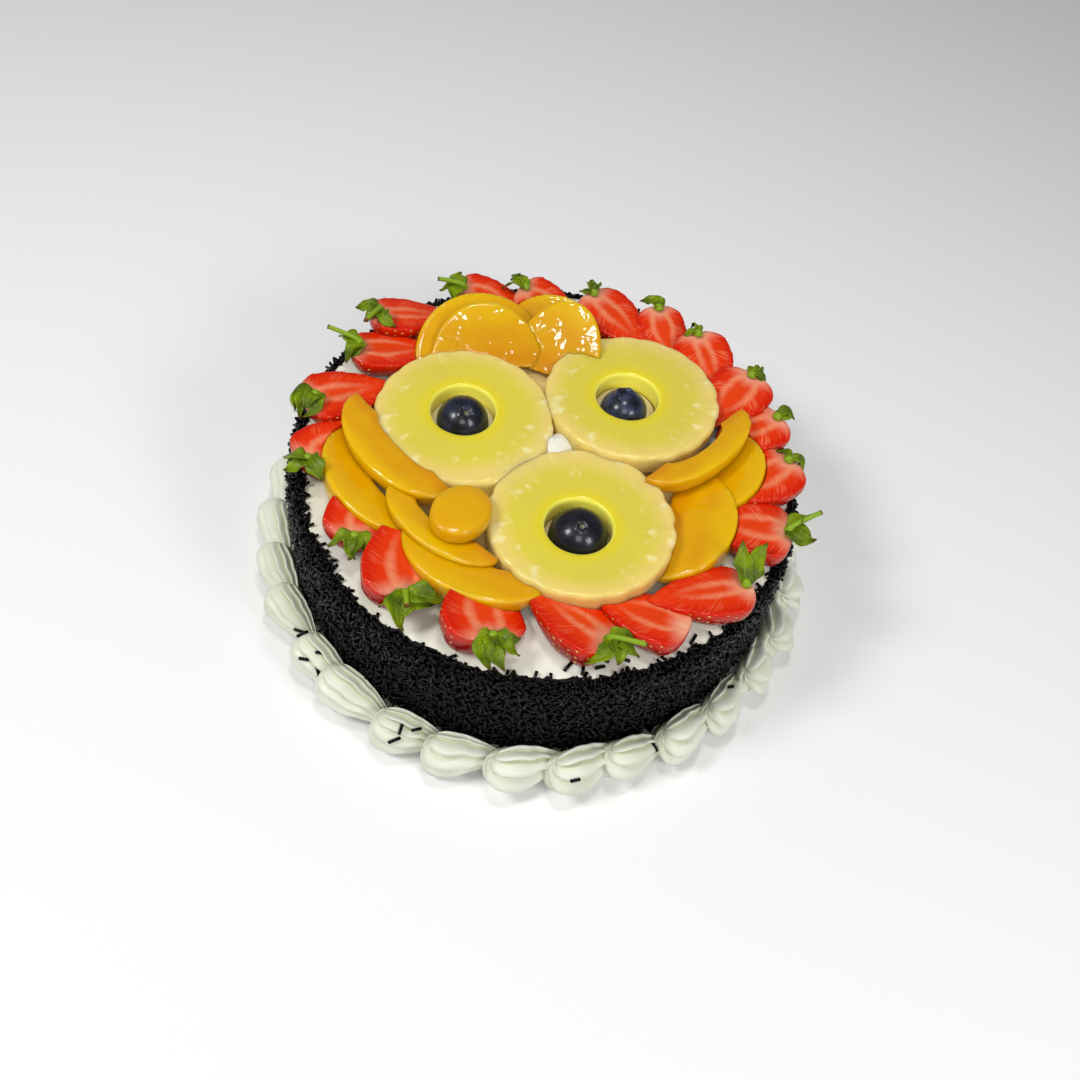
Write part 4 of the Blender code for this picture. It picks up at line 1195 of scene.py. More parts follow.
def berry_girth(share):
    """A strawberry's half width from its leafy end to its tip, as a share of the widest."""
    share = np.clip(share, 0, 1)
    return np.minimum(1.0, 1.04 * np.sin(math.pi * share**0.55) ** 0.72)


def berry_bend(number):
    """How far a berry's middle line bends to one side, in mm."""
    return 0.9 * math.sin(2.4 * number)


def berry_mesh(berry, number):
    under = np.linspace(0, math.pi, 30)
    share = np.linspace(0, 1, BERRY_ROWS + 2)[1:-1]
    share = 0.5 - 0.5 * np.cos(math.pi * share)
    lumps = wobble(share * 9, np.full_like(share, 4.0 * number), share, 3.1)
    girth = berry_girth(share) * berry.width * (1 + 0.03 * lumps)
    bend = berry_bend(number)
    rings = []
    for along, width, lump in zip(share, girth, lumps):
        middle = bend * math.sin(math.pi * along)
        arc = [
            (along * berry.length, middle + 0.5 * width * math.cos(a), -berry.depth * width * math.sin(a))
            for a in under
        ]
        face = [
            (along * berry.length, middle + 0.5 * width * side, 0.35 * (1 - side**2))
            for side in np.linspace(-1, 1, 16)[1:-1]
        ]
        rings.append(arc + face)
    return skin_over("half_berry", np.array(rings), (0, 0, 0), (berry.length, 0, 0))


berries = []
face_heights = {}
for number, berry in enumerate(BERRIES):
    made = object_of(berry.name + "_half", berry_mesh(berry, number))
    place = Matrix.Translation((berry.x, berry.y, 0)) @ turn(berry.points_to, "Z")
    place = place @ turn(berry.pitch, "Y") @ turn(berry.roll, "X")
    settled = settle(made.data, place, CAKE_TOP - berry.sink)
    face_heights[berry.name] = settled.translation.z
    put(made, settled)
    keep_above(made, CAKE_TOP + CREAM_GAP)
    berries.append(made)
print("cut faces start", round(min(face_heights.values())), "to", round(max(face_heights.values())), "mm up")

# %% [markdown]
# ## Dabs of cream
# The rings and berries are set on dabs of cream, and it wells up in the rings' holes and in
# the gap between the rings, where it shows white. A dab is a flattened ball with low waves.
# The fruit is pressed into it, so the dabs come last in the heap and give way to all of it.

# %% Cream in the gaps
Dab = namedtuple("Dab", "x y radius height")
DAB_ROWS = 16
DAB_COLUMNS = 48
DAB_SUNK = 0.6
HOLE_STAIN = 0.6
DABS = (
    Dab(-38.7, 11.2, 14.5, 5.5), Dab(29.0, 33.7, 14.5, 6.5), Dab(16.9, -39.7, 14.5, 6.0),
    Dab(2.4, 3.1, 9.0, 9.5), Dab(-1.5, 29.0, 6.0, 7.0), Dab(11.0, 62.0, 6.0, 5.0),
)


def dab_mesh(dab, number):
    polar, angle = ball_grid(DAB_ROWS, DAB_COLUMNS)
    out = dab.radius * np.sin(polar) ** 0.8
    x, y = out * np.cos(angle), out * np.sin(angle)
    waves = wobble(x, y, np.full_like(x, 3.0 * number), 5, 21)
    height = dab.height * np.cos(polar) * (1 + 0.25 * waves)
    mesh = skin_over("dab", np.stack([x, y, height], axis=-1), (0, 0, dab.height), (0, 0, -dab.height))
    mesh.transform(scaled_place(Matrix.Translation((dab.x, dab.y, CAKE_TOP))))
    return mesh


dabs = []
for number, dab in enumerate(DABS):
    made = object_of("cream_dab_%d" % number, dab_mesh(dab, number))
    keep_above(made, CAKE_TOP - DAB_SUNK)
    dabs.append(made)
print(len(dabs), "dabs of cream")

# %% [markdown]
# ## Pushing the heap apart
# Soft fruit in a heap gives way: what lies lower is dented by what lies on it. Here each piece
# is cut back from the ones above it by a small gap, with Boolean cuts in the order of the
# heap. Strawberry tips run in under the peaches, so there the cutter is the peach's hull with
# the air over it, and no tip pokes through. The rings lap one over the next, all round.

# %% Fit the pieces to each other


def tree_of(made):
    mesh = made.data
    return BVHTree.FromPolygons([v.co for v in mesh.vertices], [p.vertices for p in mesh.polygons])


def swollen(made):
    """A copy of the piece that is larger all round by the gap."""
    mesh = made.data.copy()
    set_points(mesh, points_of(mesh) + normals_of(mesh) * PIECE_GAP * MM)
    return object_of("swollen_" + made.name, mesh)


def raised_hull(cutter):
    """The hull of the piece and of the air over it."""
    bm = bmesh.new()
    points = points_of(cutter.data)[::3]
    for lift in (0, HULL_LIFT * MM):
        for point in points:
            bm.verts.new((point[0], point[1], point[2] + lift))
    hull = bmesh.ops.convex_hull(bm, input=bm.verts)
    inner = [each for each in hull["geom_interior"] if isinstance(each, bmesh.types.BMVert)]
    bmesh.ops.delete(bm, geom=inner, context="VERTS")
    mesh = bpy.data.meshes.new("raised")
    bm.to_mesh(mesh)
    bm.free()
    return object_of("raised_" + cutter.name, mesh)


def fit_heap(order, heap, laps):
    cutters = {made.name: swollen(made) for made in order}
    raised = {made.name: raised_hull(cutters[made.name]) for made in heap}
    cuts = 0
    for index, lower in enumerate(order):
        for upper in order[:index]:
            if upper in rings and lower in rings:
                continue
            tip = lower in berries and upper.name in raised
            cutter = raised[upper.name] if tip else cutters[upper.name]
            if tree_of(lower).overlap(tree_of(cutter)):
                cut_away(lower, cutter)
                cuts += 1
    for under, over in laps:
        cut_away(under, cutters[over.name])
    for cutter in (*cutters.values(), *raised.values()):
        bpy.data.objects.remove(cutter)
    return cuts


ring_named = {ring.name: made for ring, made in zip(RINGS, rings)}
ring_laps = sorted((ring.over, ring.name) for ring in RINGS)
heap = upper_slices + rings + lower_slices
laps = [(ring_named[under], ring_named[over]) for under, over in ring_laps]
print(fit_heap(blueberries + heap + berries + dabs, heap, laps), "cuts in the heap")
for number, made in enumerate(dabs):
    stain = HOLE_STAIN if number < len(RINGS) else 0.0
    store(made.data, "juice", np.full(len(made.data.vertices), stain))
    dress(made, CREAM, "chocolate_sprinkled_cream")

# %% [markdown]
# ## Blueberry and pineapple finishes
# Both finishes read how far a point lies from the middle of its own piece, in its own frame,
# so the crown's scar and the ring's fibres stay where they belong however the piece is turned.

# %% Blueberry skin


def blueberry_skin():
    material, shader, tree, place = new_finish("blueberry_skin", 0.34)
    out = stored(tree, "from_crown")
    rubbed = ease(tree, cloud(tree, place, 170, 4, 0.6), 0.34, 0.72)
    wax = maths(tree, "MULTIPLY", rubbed, stored(tree, "bloom"))
    skin = blend_paint(tree, wax, paint(9, 10, 18), paint(60, 68, 104))
    ring = fade(tree, out, 0.5, 1.3)
    scarred = maths(tree, "MULTIPLY", ring, stored(tree, "scar"))
    scar = blend_paint(tree, scarred, skin, paint(98, 100, 52))
    grain = bump(tree, cloud(tree, place, 1500), 0.00004)
    dents = bump(tree, cloud(tree, place, 240), 0.00018, grain)
    return finish(material, shader, scar, dents, Specular_IOR_Level=0.3, Coat_Weight=0.35, Coat_Roughness=0.1)


BLUEBERRY_SKIN = blueberry_skin()
BLOOM = {"blueberry_left": 0.35, "blueberry_back": 1.0, "blueberry_front": 0.12}
for berry, made in zip(BLUEBERRIES, blueberries):
    local = in_own_frame(made.data, FRAMES[made.name])
    store(made.data, "from_crown", np.where(local[:, 2] > 0, np.hypot(local[:, 0], local[:, 1]), 20))
    store(made.data, "bloom", np.full(len(local), BLOOM[berry.name]))
    store(made.data, "scar", np.full(len(local), 0.9 if berry.name != "blueberry_back" else 0.0))
    made.data.shade_smooth()
    dress(made, BLUEBERRY_SKIN, "blueberry", berry.name)
print("blueberries dressed")

# %% Pineapple flesh


def pineapple_flesh():
    """Clear yellow near the hole and a painted glow on its wall, ivory at the rim, with fibres and pale flecks
    between.
    """
    material, shader, tree, place = new_finish("pineapple_flesh", 0.2)
    out = stored(tree, "from_hole")
    spoke = stored(tree, "spoke", "Vector")
    along_fibres = add_node(tree, "ShaderNodeMapping", {"Vector": spoke, "Scale": (22, 22, 2.0)}).outputs[0]
    fibre = cloud(tree, along_fibres, 1, 3)
    broken = add_node(tree, "ShaderNodeMapping", {"Vector": spoke, "Scale": (5.5, 5.5, 5)}).outputs[0]
    flecks = cloud(tree, broken, 1, 2)
    broad = cloud(tree, place, 26)
    flesh = blend_paint(tree, ease(tree, broad, 0.3, 0.7), paint(214, 198, 78), paint(219, 203, 68))
    near_hole = fade(tree, out, 0.05, 0.30)
    open_flesh = blend_paint(tree, near_hole, flesh, paint(222, 204, 44))
    # The wall of the hole is painted a brighter yellow: a painted glow that stands in for light coming through
    # the flesh.
    wall = fade(tree, out, 0.015, 0.06)
    clear = blend_paint(tree, wall, open_flesh, paint(250, 238, 96))
    edge = ease(tree, maths(tree, "ADD", out, maths(tree, "MULTIPLY", broad, 0.30)), 0.66, 1.16)
    ivory = tint(tree, edge, 0.8, clear, paint(234, 206, 128))
    band = maths(tree, "MULTIPLY", ease(tree, out, 0.42, 0.62), ease(tree, flecks, 0.54, 0.76))
    pale = tint(tree, band, 0.6, ivory, paint(242, 234, 182))
    streak = maths(tree, "MULTIPLY", ease(tree, fibre, 0.5, 0.8), 0.14)
    colour = blend_paint(tree, streak, pale, paint(228, 214, 118))
    relief = bump(tree, fibre, 0.00010)
    relief = bump(tree, cloud(tree, place, 380, 3), 0.00010, relief)
    return finish(
        material, shader, colour, relief, Specular_IOR_Level=0.15, Coat_Weight=0.4, Coat_Roughness=0.12,
        Subsurface_Weight=0.6, Subsurface_Radius=(1.0, 0.9, 0.3), Subsurface_Scale=0.009,
    )


PINEAPPLE = pineapple_flesh()
for ring, made in zip(RINGS, rings):
    local = in_own_frame(made.data, FRAMES[made.name])
    across = np.hypot(local[:, 0], local[:, 1])
    from_eye = np.hypot(local[:, 0] - ring.eye_x, local[:, 1] - ring.eye_y)
    share = (from_eye - RING_HOLE) / (RING_RADIUS - RING_HOLE)
    outward = (across - RING_HOLE) / (RING_RADIUS - RING_HOLE)
    mixed = np.where(share < 0.5, share, np.maximum(share, outward))
    store(made.data, "from_hole", mixed)
    angle = np.arctan2(local[:, 1], local[:, 0])
    spokes = np.stack([np.cos(angle), np.sin(angle), across / RING_RADIUS], axis=1)
    store(made.data, "spoke", spokes, "FLOAT_VECTOR")
    made.data.shade_smooth()
    dress(made, PINEAPPLE, "pineapple", ring.name)
print("pineapple dressed")

# %% [markdown]
# ## Peach finish
# Canned peach flesh is a deep golden orange, clear enough for light to sink in, and wet with
# syrup. The outer side, where the skin was, is lighter, and the flesh is redder in the hollow
# of the stone. The syrup lies unevenly, which breaks its bright reflections into patches. So
# the shader's coat has slow ripples of its own, apart from the fine grain of the flesh.

# %% Peach flesh


def peach_flesh():
    material, shader, tree, place = new_finish("peach_flesh", 0.3)
    depth = stored(tree, "outward")
    broad = cloud(tree, place, 45)
    flesh = blend_paint(tree, ease(tree, broad, 0.25, 0.75), paint(214, 152, 0), paint(221, 168, 0))
    lighter = ease(tree, maths(tree, "ADD", depth, maths(tree, "MULTIPLY", broad, 0.3)), 0.75, 1.15)
    sided = blend_paint(tree, lighter, flesh, paint(224, 178, 0))
    red = fade(tree, depth, 0.18, 0.42)
    colour = tint(tree, red, 0.5, sided, paint(210, 120, 0))
    relief = bump(tree, cloud(tree, place, 120, 3, 0.5), 0.0003)
    syrup = bump(tree, cloud(tree, place, 90, 2.5, 0.5), 0.0022)
    tree.links.new(syrup, shader.inputs["Coat Normal"])
    return finish(
        material, shader, colour, relief, Specular_IOR_Level=0.08, Coat_Weight=0.8, Coat_Roughness=0.02,
        Subsurface_Weight=0.6, Subsurface_Radius=(1.0, 0.6, 0.05), Subsurface_Scale=0.008,
    )


PEACH = peach_flesh()
for piece, made in zip(UPPER_SLICES + LOWER_SLICES, upper_slices + lower_slices):
    rounded(made, voxel=0.8, passes=4, swell=0.3)
    local = in_own_frame(made.data, FRAMES[made.name])
    across = np.hypot(local[:, 1], local[:, 2])
    if not piece.wedge:
        across = np.full(len(local), 0.62 * piece.depth) + 0.3 * np.abs(local[:, 2] - 4)
    store(made.data, "outward", across / piece.depth)
    dress(made, PEACH, "peach", piece.name)
print("peaches:", sum(len(made.data.polygons) for made in upper_slices + lower_slices), "faces")

# %% [markdown]
# ## Strawberry finish
# The cut face shows the berry's inside: orange-red flesh with fine fibres that run outwards
# from the core, two pale lines that outline the core like a lens, and a white heart by the
# leaves. The skin is a deep glossy red. The mesh carries, at each point, its share of the
# length, its share of the width and its distance from the core's line, so that one material
# draws the pattern on every berry. Each berry is more or less pale.

# %% Strawberry flesh and skin
PALE_BERRIES = {
    "strawberry_06": 0.7, "strawberry_07": 0.45, "strawberry_09": 0.8, "strawberry_10": 0.6,
    "strawberry_11": 0.8, "strawberry_08": 0.55, "strawberry_13": 0.5, "strawberry_12": 0.4,
}
PALE_USUALLY = 0.16
SEED_PITCH = 4.0
SEED_DIMPLE = 0.35
SEED_DIMPLE_WIDTH = 0.95
SEED_REACH = 0.9             # a seed this far off the skin was on a part that is cut away
SEED_SUNK = 0.12


def core_line(share, number):
    """Half the core's width as a share of the berry's, from the leafy end to the tip."""
    width = 0.33 + 0.09 * math.sin(3.7 * number)
    reach = 0.84 + 0.10 * math.cos(2.3 * number)
    return width * np.sin(math.pi * np.clip(0.05 + 0.95 * share / reach, 0, 1) ** 0.9) ** 0.8


def strawberry_material():
    material, shader, tree, place = new_finish("strawberry_flesh", 0.28)
    along, across, line = apart(tree, stored(tree, "on_face", "Vector"))
    pale = stored(tree, "pale")
    soft = maths(tree, "SUBTRACT", maths(tree, "MULTIPLY", cloud(tree, place, 170, 3), 0.22), 0.11)
    line = maths(tree, "ADD", line, soft)
    fan = together(tree, maths(tree, "SUBTRACT", along, maths(tree, "MULTIPLY", across, 0.22)), across)
    spread = add_node(tree, "ShaderNodeMapping", {"Vector": fan, "Scale": (42, 2.2, 1)}).outputs[0]
    fibre = cloud(tree, add_node(tree, "ShaderNodeVectorMath", {0: spread, 1: place}).outputs[0], 1, 3)
    flesh = blend_paint(tree, ease(tree, across, 0.5, 1.0), paint(222, 50, 0), paint(204, 26, 0))
    core = fade(tree, line, -0.16, 0.02)
    cored = tint(tree, core, 0.5, flesh, paint(224, 72, 20))
    rays = maths(tree, "MULTIPLY", ease(tree, fibre, 0.50, 0.78), ease(tree, line, 0.0, 0.12))
    rays = maths(tree, "MULTIPLY", rays, maths(tree, "ADD", 0.30, pale))
    rayed = blend_paint(tree, rays, cored, paint(236, 124, 84))
    near_end = maths(tree, "ADD", along, maths(tree, "MULTIPLY", across, 0.16))
    heart = fade(tree, near_end, 0.03, 0.30)
    hearted = tint(tree, heart, 0.8, rayed, paint(238, 192, 158))
    vein = fade(tree, maths(tree, "ABSOLUTE", line), 0.0, 0.21)
    fading = fade(tree, along, 0.30, 0.88)
    drawn = maths(tree, "MULTIPLY", maths(tree, "MULTIPLY", vein, fading), ease(tree, fibre, 0.0, 0.62))
    veined = tint(tree, drawn, 0.75, hearted, paint(234, 150, 108))
    depth = stored(tree, "depth")
    # The skin's deep red is painted darker the further it lies below the cut, down towards the cream, which is
    # painted shade; near the cut it is tinted a lighter red.
    mottled = ease(tree, cloud(tree, place, 60), 0.35, 0.7)
    shaded_skin_tone = blend_paint(tree, mottled, paint(140, 4, 2), paint(168, 10, 4))
    lit_skin_near_cut = fade(tree, depth, 0.8, 7.0)
    skin = tint(tree, lit_skin_near_cut, 0.85, shaded_skin_tone, paint(214, 40, 0))
    colour = blend_paint(tree, ease(tree, depth, 0.35, 0.75), veined, skin)
    relief = bump(tree, fibre, 0.00022)
    relief = bump(tree, cloud(tree, place, 600, 3), 0.00007, relief)
    return finish(
        material, shader, colour, relief, Specular_IOR_Level=0.08, Coat_Weight=0.32, Coat_Roughness=0.08,
        Subsurface_Weight=0.1, Subsurface_Radius=(1.0, 0.15, 0.05), Subsurface_Scale=0.002,
    )


def seed_spots(berry, number, matrix):
    """Places on the skin in staggered rows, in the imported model's frame, in mm."""
    rng = random.Random(40 + number)
    spots = []
    rows = int(berry.length / (SEED_PITCH * 0.86))
    for row in range(1, rows):
        share = (row + rng.uniform(-0.12, 0.12)) / rows
        girth = float(berry_girth(np.array(share))) * berry.width
        count = max(3, round(math.pi * 0.5 * girth / SEED_PITCH))
        for index in range(count):
            place = (index + 0.5 * (row % 2) + 0.25 + rng.uniform(-0.12, 0.12)) / count
            angle = math.pi * min(max(place, 0.03), 0.97)
            spots.append(matrix @ Vector((
                share * berry.length, 0.5 * girth * math.cos(angle), -berry.depth * girth * math.sin(angle),
            )))
    return spots


def seeds_on_skin(made, berry, number):
    """Each seed's point on the skin and the skin's facing there."""
    tree = tree_of(made)
    found = []
    for spot in seed_spots(berry, number, FRAMES[made.name]):
        near, normal, _, distance = tree.find_nearest(spot * MM)
        if near is not None and distance < SEED_REACH * MM:
            found.append((near, normal))
    return found


def press_dimples(mesh, found):
    points = points_of(mesh)
    dent = np.zeros(len(points))
    for near, _ in found:
        off = np.linalg.norm(points - np.array(near), axis=1) / MM
        dent = np.maximum(dent, np.exp(-((off / SEED_DIMPLE_WIDTH) ** 2)))
    set_points(mesh, points - normals_of(mesh) * (SEED_DIMPLE * MM * dent)[:, None])


def store_pattern(mesh, local, berry, number):
    """Each point's place on the berry, which the material turns into core, rays and skin."""
    along = local[:, 0] / berry.length
    width = np.maximum(0.5 * berry_girth(along) * berry.width, 1.0)
    bend = berry_bend(number) * np.sin(math.pi * np.clip(along, 0, 1))
    across = np.abs(local[:, 1] - bend) / width
    on_face = np.stack([along, across, across - core_line(along, number)], axis=1)
    store(mesh, "on_face", on_face, "FLOAT_VECTOR")
    store(mesh, "depth", -local[:, 2])
    store(mesh, "pale", np.full(len(local), PALE_BERRIES.get(berry.name, PALE_USUALLY)))


STRAWBERRY = strawberry_material()
seeds = []
for number, (berry, made) in enumerate(zip(BERRIES, berries)):
    rounded(made, voxel=0.65, passes=3, swell=0.2)
    found = seeds_on_skin(made, berry, number)
    local = in_own_frame(made.data, FRAMES[made.name])
    press_dimples(made.data, found)
    store_pattern(made.data, local, berry, number)
    seeds += [(near - normal * SEED_SUNK * MM, normal) for near, normal in found]
    dress(made, STRAWBERRY, "strawberry", berry.name)
print("strawberries:", sum(len(made.data.polygons) for made in berries), "faces,", len(seeds), "seeds")

# %% [markdown]
# ## Strawberry seeds
# The pips sit in the dimples of the skin, a few millimetres apart, pointed towards the tip.
# There are more than a thousand, so a Geometry Nodes tree puts one small pip on each stored
# spot, turned by the facing that the spot carries. It is the tree that set the shells.

# %% Pips on the skin
PIP_SIDES = 6


def pip_mesh():
    """A pointed, flattened pip along X, 1.6 mm long."""
    sections = ((-0.65, 0.28), (-0.3, 0.46), (0.2, 0.40), (0.6, 0.16))
    rings = np.array([
        [(along, share * math.cos(a), 0.55 * share * math.sin(a)) for a in full_turn(PIP_SIDES)]
        for along, share in sections
    ])
    return skin_over("pip", rings, (-0.8, 0, 0), (0.85, 0, 0))


def pip_material():
    material, shader, tree, place = new_finish("strawberry_pip", 0.35)
    tone = ease(tree, cloud(tree, place, 220), 0.35, 0.65)
    colour = blend_paint(tree, tone, paint(226, 178, 92), paint(190, 96, 34))
    grain = bump(tree, cloud(tree, place, 3000), 0.00003)
    return finish(material, shader, colour, grain, Coat_Weight=0.5, Coat_Roughness=0.15)


def lying_along(normal, along):
    """The turn that puts X along a direction and Z along the normal."""
    side = normal.cross(along).normalized()
    forward = side.cross(normal)
    matrix = Matrix((forward, side, normal)).transposed()
    return matrix.to_euler()


pip_kinds = kinds_of("pip_kinds", [object_of("one_pip", pip_mesh(), linked=False)])
pip_rng = random.Random(5)
pip_spots = [spot for spot, _ in seeds]
pip_facings = [lying_along(normal, Vector((-spot.x, -spot.y, 0)).normalized()) for spot, normal in seeds]
pip_sizes = [[pip_rng.uniform(0.65, 0.95)] * 3 for _ in seeds]
PIP = pip_material()
pips = set_on_spots("strawberry_pips", pip_kinds, pip_spots, pip_facings, pip_sizes, [0] * len(seeds), PIP)
dress(pips, PIP, "strawberry")
print("pips:", len(pips.data.polygons), "faces")

# %% [markdown]
# ## Stray sprinkles
# Sprinkles that missed the side lie on the piping and on the cream. Their places are read off
# the photograph: each is a sight line from the camera, followed until it meets the cream, and
# the sprinkle lies flat on the surface there. So it sits right however the shells turn out.

# %% Sprinkles that fell beside
PHOTO_MIDDLE = 540
PHOTO_FOCAL = 1100
STRAY_LIFT = 0.4             # a stray lies a little in the cream
STRAYS = (
    (300, 630), (303, 635), (320, 653), (304, 659), (318, 671), (400, 730), (394, 740), (416, 729),
    (414, 757), (729, 688), (655, 745), (575, 779), (731, 667), (734, 662), (780, 577), (782, 567),
    (693, 640), (568, 667), (583, 670), (603, 660), (600, 668), (624, 660),
)


def sight_line(across, down):
    """The direction from the camera through a pixel of the photograph."""
    ray = CAMERA_FORWARD + CAMERA_RIGHT * ((across - PHOTO_MIDDLE) / PHOTO_FOCAL)
    return (ray - camera_up * ((down - PHOTO_MIDDLE) / PHOTO_FOCAL)).normalized()


def stray_spots(rng):
    trees = [tree_of(border), tree_of(cake)]
    spots, facings, sizes = [], [], []
    for across, down in STRAYS:
        hits = [tree.ray_cast(CAMERA_SPOT, sight_line(across, down)) for tree in trees]
        hits = [hit for hit in hits if hit[0] is not None]
        if not hits:
            continue
        spot, normal = min(hits, key=lambda hit: hit[3])[:2]
        spots.append(spot + normal * STRAY_LIFT * SPRINKLE_THICKNESS * MM)
        angle = rng.uniform(0, math.pi)
        facings.append(lying_along(normal, Vector((math.cos(angle), math.sin(angle), 0))))
        sizes.append((rng.uniform(0.8, 1.15), 1.1, 1.1))
    return spots, facings, sizes, [0] * len(spots)


sprinkle_kinds = kinds_of("sprinkle_kinds", [ONE_SPRINKLE])
strays = set_on_spots("stray_sprinkles", sprinkle_kinds, *stray_spots(random.Random(8)), CHOCOLATE)
dress(strays, CHOCOLATE, "chocolate_sprinkled_cream")
print("stray sprinkles:", len(strays.data.polygons) // len(ONE_SPRINKLE.data.polygons))

# %% [markdown]
# ## Strawberry leaves
# The green star of a strawberry is a ring of thin pointed sepals round the stalk. No two are
# alike: they fold along the middle, bend sideways, roll over and curl up at the tip. A sepal
# is a small grid of points that follows a bent middle line, in a frame that rolls on its way
# to the tip. Solidify gives it its thickness, and a few berries keep a piece of stalk, which
# is a tapering tube.

# %% Leaf shapes
LEAF_HUB = 2.4
LEAF_RISE = 1.8
LEAF_DROOP = 4.5
LEAF_THICKNESS = 0.45
LEAF_ROWS = 14
LEAF_COLUMNS = 9
STEM_RADIUS = 1.1
STEM_SIDES = 12


def sepal_line(angle, length, drop, rng):
    """The middle line of one sepal from the hub to the tip, in mm."""
    bend = rng.uniform(-0.9, 0.9)
    rise = rng.uniform(0.8, 3.0)
    curl = rng.uniform(-1.0, 4.0)
    line = []
    for row in range(LEAF_ROWS + 1):
        along = row / LEAF_ROWS
        facing = angle + bend * along**1.5
        spot = Vector((math.cos(facing), math.sin(facing), 0)) * (0.6 + along * length)
        spot.z = rise * math.sin(math.pi * along) + drop * along**1.6 + curl * along**5
        line.append(spot)
    return line


def sepal_sheet(bm, layers, angle, length, drop, rng):
    """One sepal as an open sheet, with its place along and across kept for the veins."""
    line = sepal_line(angle, length, drop, rng)
    half_width = length * rng.uniform(0.24, 0.36)
    fold = rng.uniform(0.05, 0.6)
    roll = rng.uniform(-0.9, 0.9)
    wave = rng.uniform(0, 6)
    grid = []
    for row in range(LEAF_ROWS + 1):
        along = row / LEAF_ROWS
        ahead = (line[min(row + 1, LEAF_ROWS)] - line[max(row - 1, 0)]).normalized()
        side = Vector((0, 0, 1)).cross(ahead).normalized()
        side = Matrix.Rotation(roll * along, 3, ahead) @ side
        upward = ahead.cross(side)
        width = half_width * (0.5 + 0.5 * math.sin(math.pi * along**0.75)) * (1 - along**5)
        points = []
        for column in range(LEAF_COLUMNS):
            across = 2 * column / (LEAF_COLUMNS - 1) - 1
            ragged = 1 + 0.16 * math.sin(13 * along + wave + 3 * across) * abs(across) ** 3
            ripple = 0.6 * math.sin(9 * along + wave + 3 * across) * abs(across)
            spot = line[row] + side * (width * across * ragged)
            spot += upward * (fold * width * abs(across) ** 1.3 + ripple)
            vertex = bm.verts.new(spot * MM)
            vertex[layers[0]] = along
            vertex[layers[1]] = across
            points.append(vertex)
        grid.append(points)
    for lower, upper in zip(grid, grid[1:]):
        for column in range(LEAF_COLUMNS - 1):
            bm.faces.new((lower[column], lower[column + 1], upper[column + 1], upper[column]))


def calyx_mesh(leaves, rng):
    """All the sepals of one star, thickened."""
    bm = bmesh.new()
    layers = [bm.verts.layers.float.new(name) for name in ("leaf_along", "leaf_across", "stalk")]
    spread = math.radians(leaves.spread)
    step = spread / leaves.count
    for index in range(leaves.count):
        angle = -spread / 2 + (index + 0.5) * step + rng.uniform(-0.2, 0.2)
        length = leaves.length * rng.uniform(0.7, 1.08)
        drop = leaves.lift - LEAF_DROOP + rng.uniform(-0.8, 0.8)
        sepal_sheet(bm, layers, angle, length, drop, rng)
    mesh = bpy.data.meshes.new("calyx")
    bm.to_mesh(mesh)
    bm.free()
    made = object_of("calyx", mesh)
    solidify = made.modifiers.new("thickness", "SOLIDIFY")
    solidify.thickness = LEAF_THICKNESS * MM
    solidify.offset = 0
    made.data = evaluated_mesh(made)
    thick = made.data
    bpy.data.objects.remove(made)
    return thick


def tube_rings(route, radii):
    """Round sections along a route, for a closed tapering tube."""
    rings = []
    for index, (spot, radius) in enumerate(zip(route, radii)):
        ahead = route[min(index + 1, len(route) - 1)] - route[max(index - 1, 0)]
        turned = ahead.to_track_quat("Z", "Y").to_matrix()
        angles = [2 * math.pi * step / STEM_SIDES for step in range(STEM_SIDES)]
        rings.append([spot + turned @ (Vector((math.cos(a), math.sin(a), 0)) * radius) for a in angles])
    return np.array(rings)


def stalk_mesh(leaves):
    """The hub, and the stalk that leans away from it where the berry kept one."""
    route = [Vector((0.2 * LEAF_HUB, 0, height)) for height in (-0.8, -0.2, 0.5, 1.1)]
    radii = [0.9 * LEAF_HUB, LEAF_HUB, 0.75 * LEAF_HUB, 1.3 * STEM_RADIUS]
    if leaves.stem:
        out = heading(leaves.stem_turn) * leaves.stem
        for share in np.linspace(0.12, 1, 12):
            rise = leaves.stem * (0.42 * share - 0.14 * share**2)
            route.append(out * share + Vector((0, 0, 1.1 + rise)))
            radii.append(STEM_RADIUS * (1.1 - 0.25 * share + (0.12 if share > 0.95 else 0)))
    rings = tube_rings(route, radii)
    mesh = skin_over("stalk", rings, route[0], route[-1])
    along = np.repeat(np.linspace(0.3, 1, len(route)), STEM_SIDES)
    store(mesh, "stalk", [*along, 0.3, 1.0 if leaves.stem else 0.4])
    return mesh


def join_meshes(name, meshes):
    parts = [object_of("part", mesh) for mesh in meshes]
    with bpy.context.temp_override(active_object=parts[0], selected_editable_objects=parts):
        bpy.ops.object.join()
    joined = parts[0].data
    bpy.data.objects.remove(parts[0])
    return object_of(name, joined)


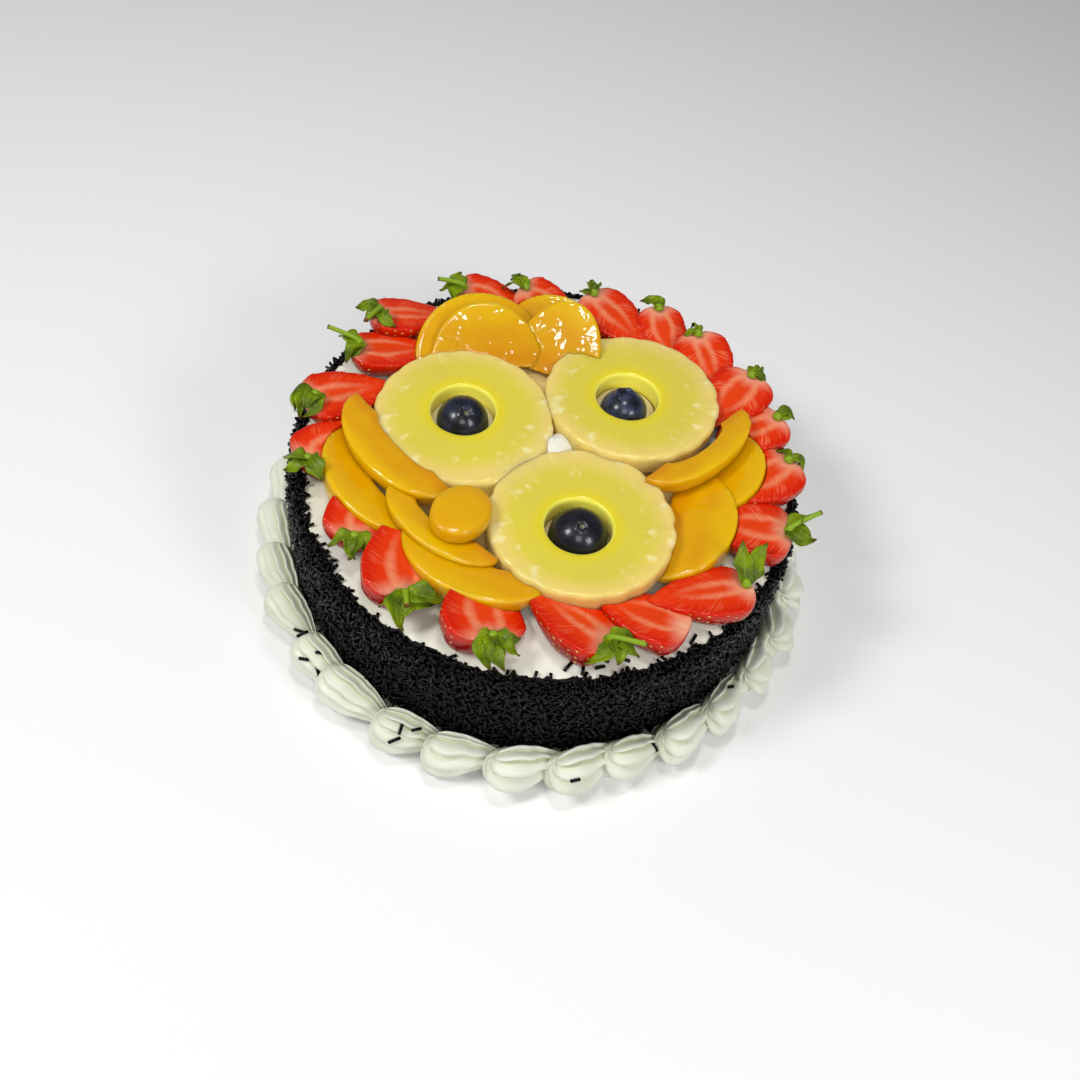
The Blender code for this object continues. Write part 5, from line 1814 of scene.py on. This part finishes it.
def leaf_place(leaves):
    berry = next(each for each in BERRIES if each.name == leaves.berry)
    outward = berry.points_to + 180
    spot = Vector((berry.x, berry.y, 0)) - heading(outward) * leaves.inset
    spot.z = face_heights[leaves.berry] + LEAF_RISE
    return Matrix.Translation(spot) @ turn(outward + leaves.turn, "Z")


def leaf_green():
    """Fresh green with a pale keel and veins, greener stalks and a brown dry cut."""
    material, shader, tree, place = new_finish("strawberry_leaf", 0.45)
    along, across, stalk = (stored(tree, name) for name in ("leaf_along", "leaf_across", "stalk"))
    tone = ease(tree, cloud(tree, place, 130, 3), 0.32, 0.68)
    green = blend_paint(tree, tone, paint(72, 94, 4), paint(128, 150, 6))
    width = maths(tree, "ABSOLUTE", across)
    keel = fade(tree, width, 0.02, 0.2)
    down_keel, off_keel = maths(tree, "MULTIPLY", along, 60.0), maths(tree, "MULTIPLY", width, 14.0)
    slanted = maths(tree, "SUBTRACT", down_keel, off_keel)
    veins = ease(tree, maths(tree, "SINE", slanted), 0.75, 1.0)
    lines = maths(tree, "MAXIMUM", keel, maths(tree, "MULTIPLY", veins, 0.5))
    veined = tint(tree, lines, 0.45, green, paint(128, 150, 40))
    edged = blend_paint(tree, ease(tree, along, 0.8, 1.05), veined, paint(88, 66, 22))
    fresh = blend_paint(tree, ease(tree, stalk, 0.05, 0.25), edged, paint(132, 164, 34))
    dry = blend_paint(tree, ease(tree, stalk, 0.95, 1.0), fresh, paint(112, 70, 34))
    relief = bump(tree, lines, 0.0003)
    relief = bump(tree, cloud(tree, place, 500, 3), 0.00015, relief)
    return finish(
        material, shader, dry, relief, Specular_IOR_Level=0.14, Coat_Weight=0.12, Coat_Roughness=0.25,
        Subsurface_Weight=0.15, Subsurface_Radius=(0.5, 1.0, 0.15), Subsurface_Scale=0.0015,
    )


LEAF_GREEN = leaf_green()
leaf_faces = 0
for number, leaves in enumerate(LEAVES):
    rng = random.Random(70 + number)
    made = join_meshes(leaves.name + "_green", [calyx_mesh(leaves, rng), stalk_mesh(leaves)])
    put(made, leaf_place(leaves))
    made.data.shade_smooth()
    leaf_faces += len(made.data.polygons)
    dress(made, LEAF_GREEN, "strawberry_leaf", leaves.name)
print("leaves:", leaf_faces, "faces")
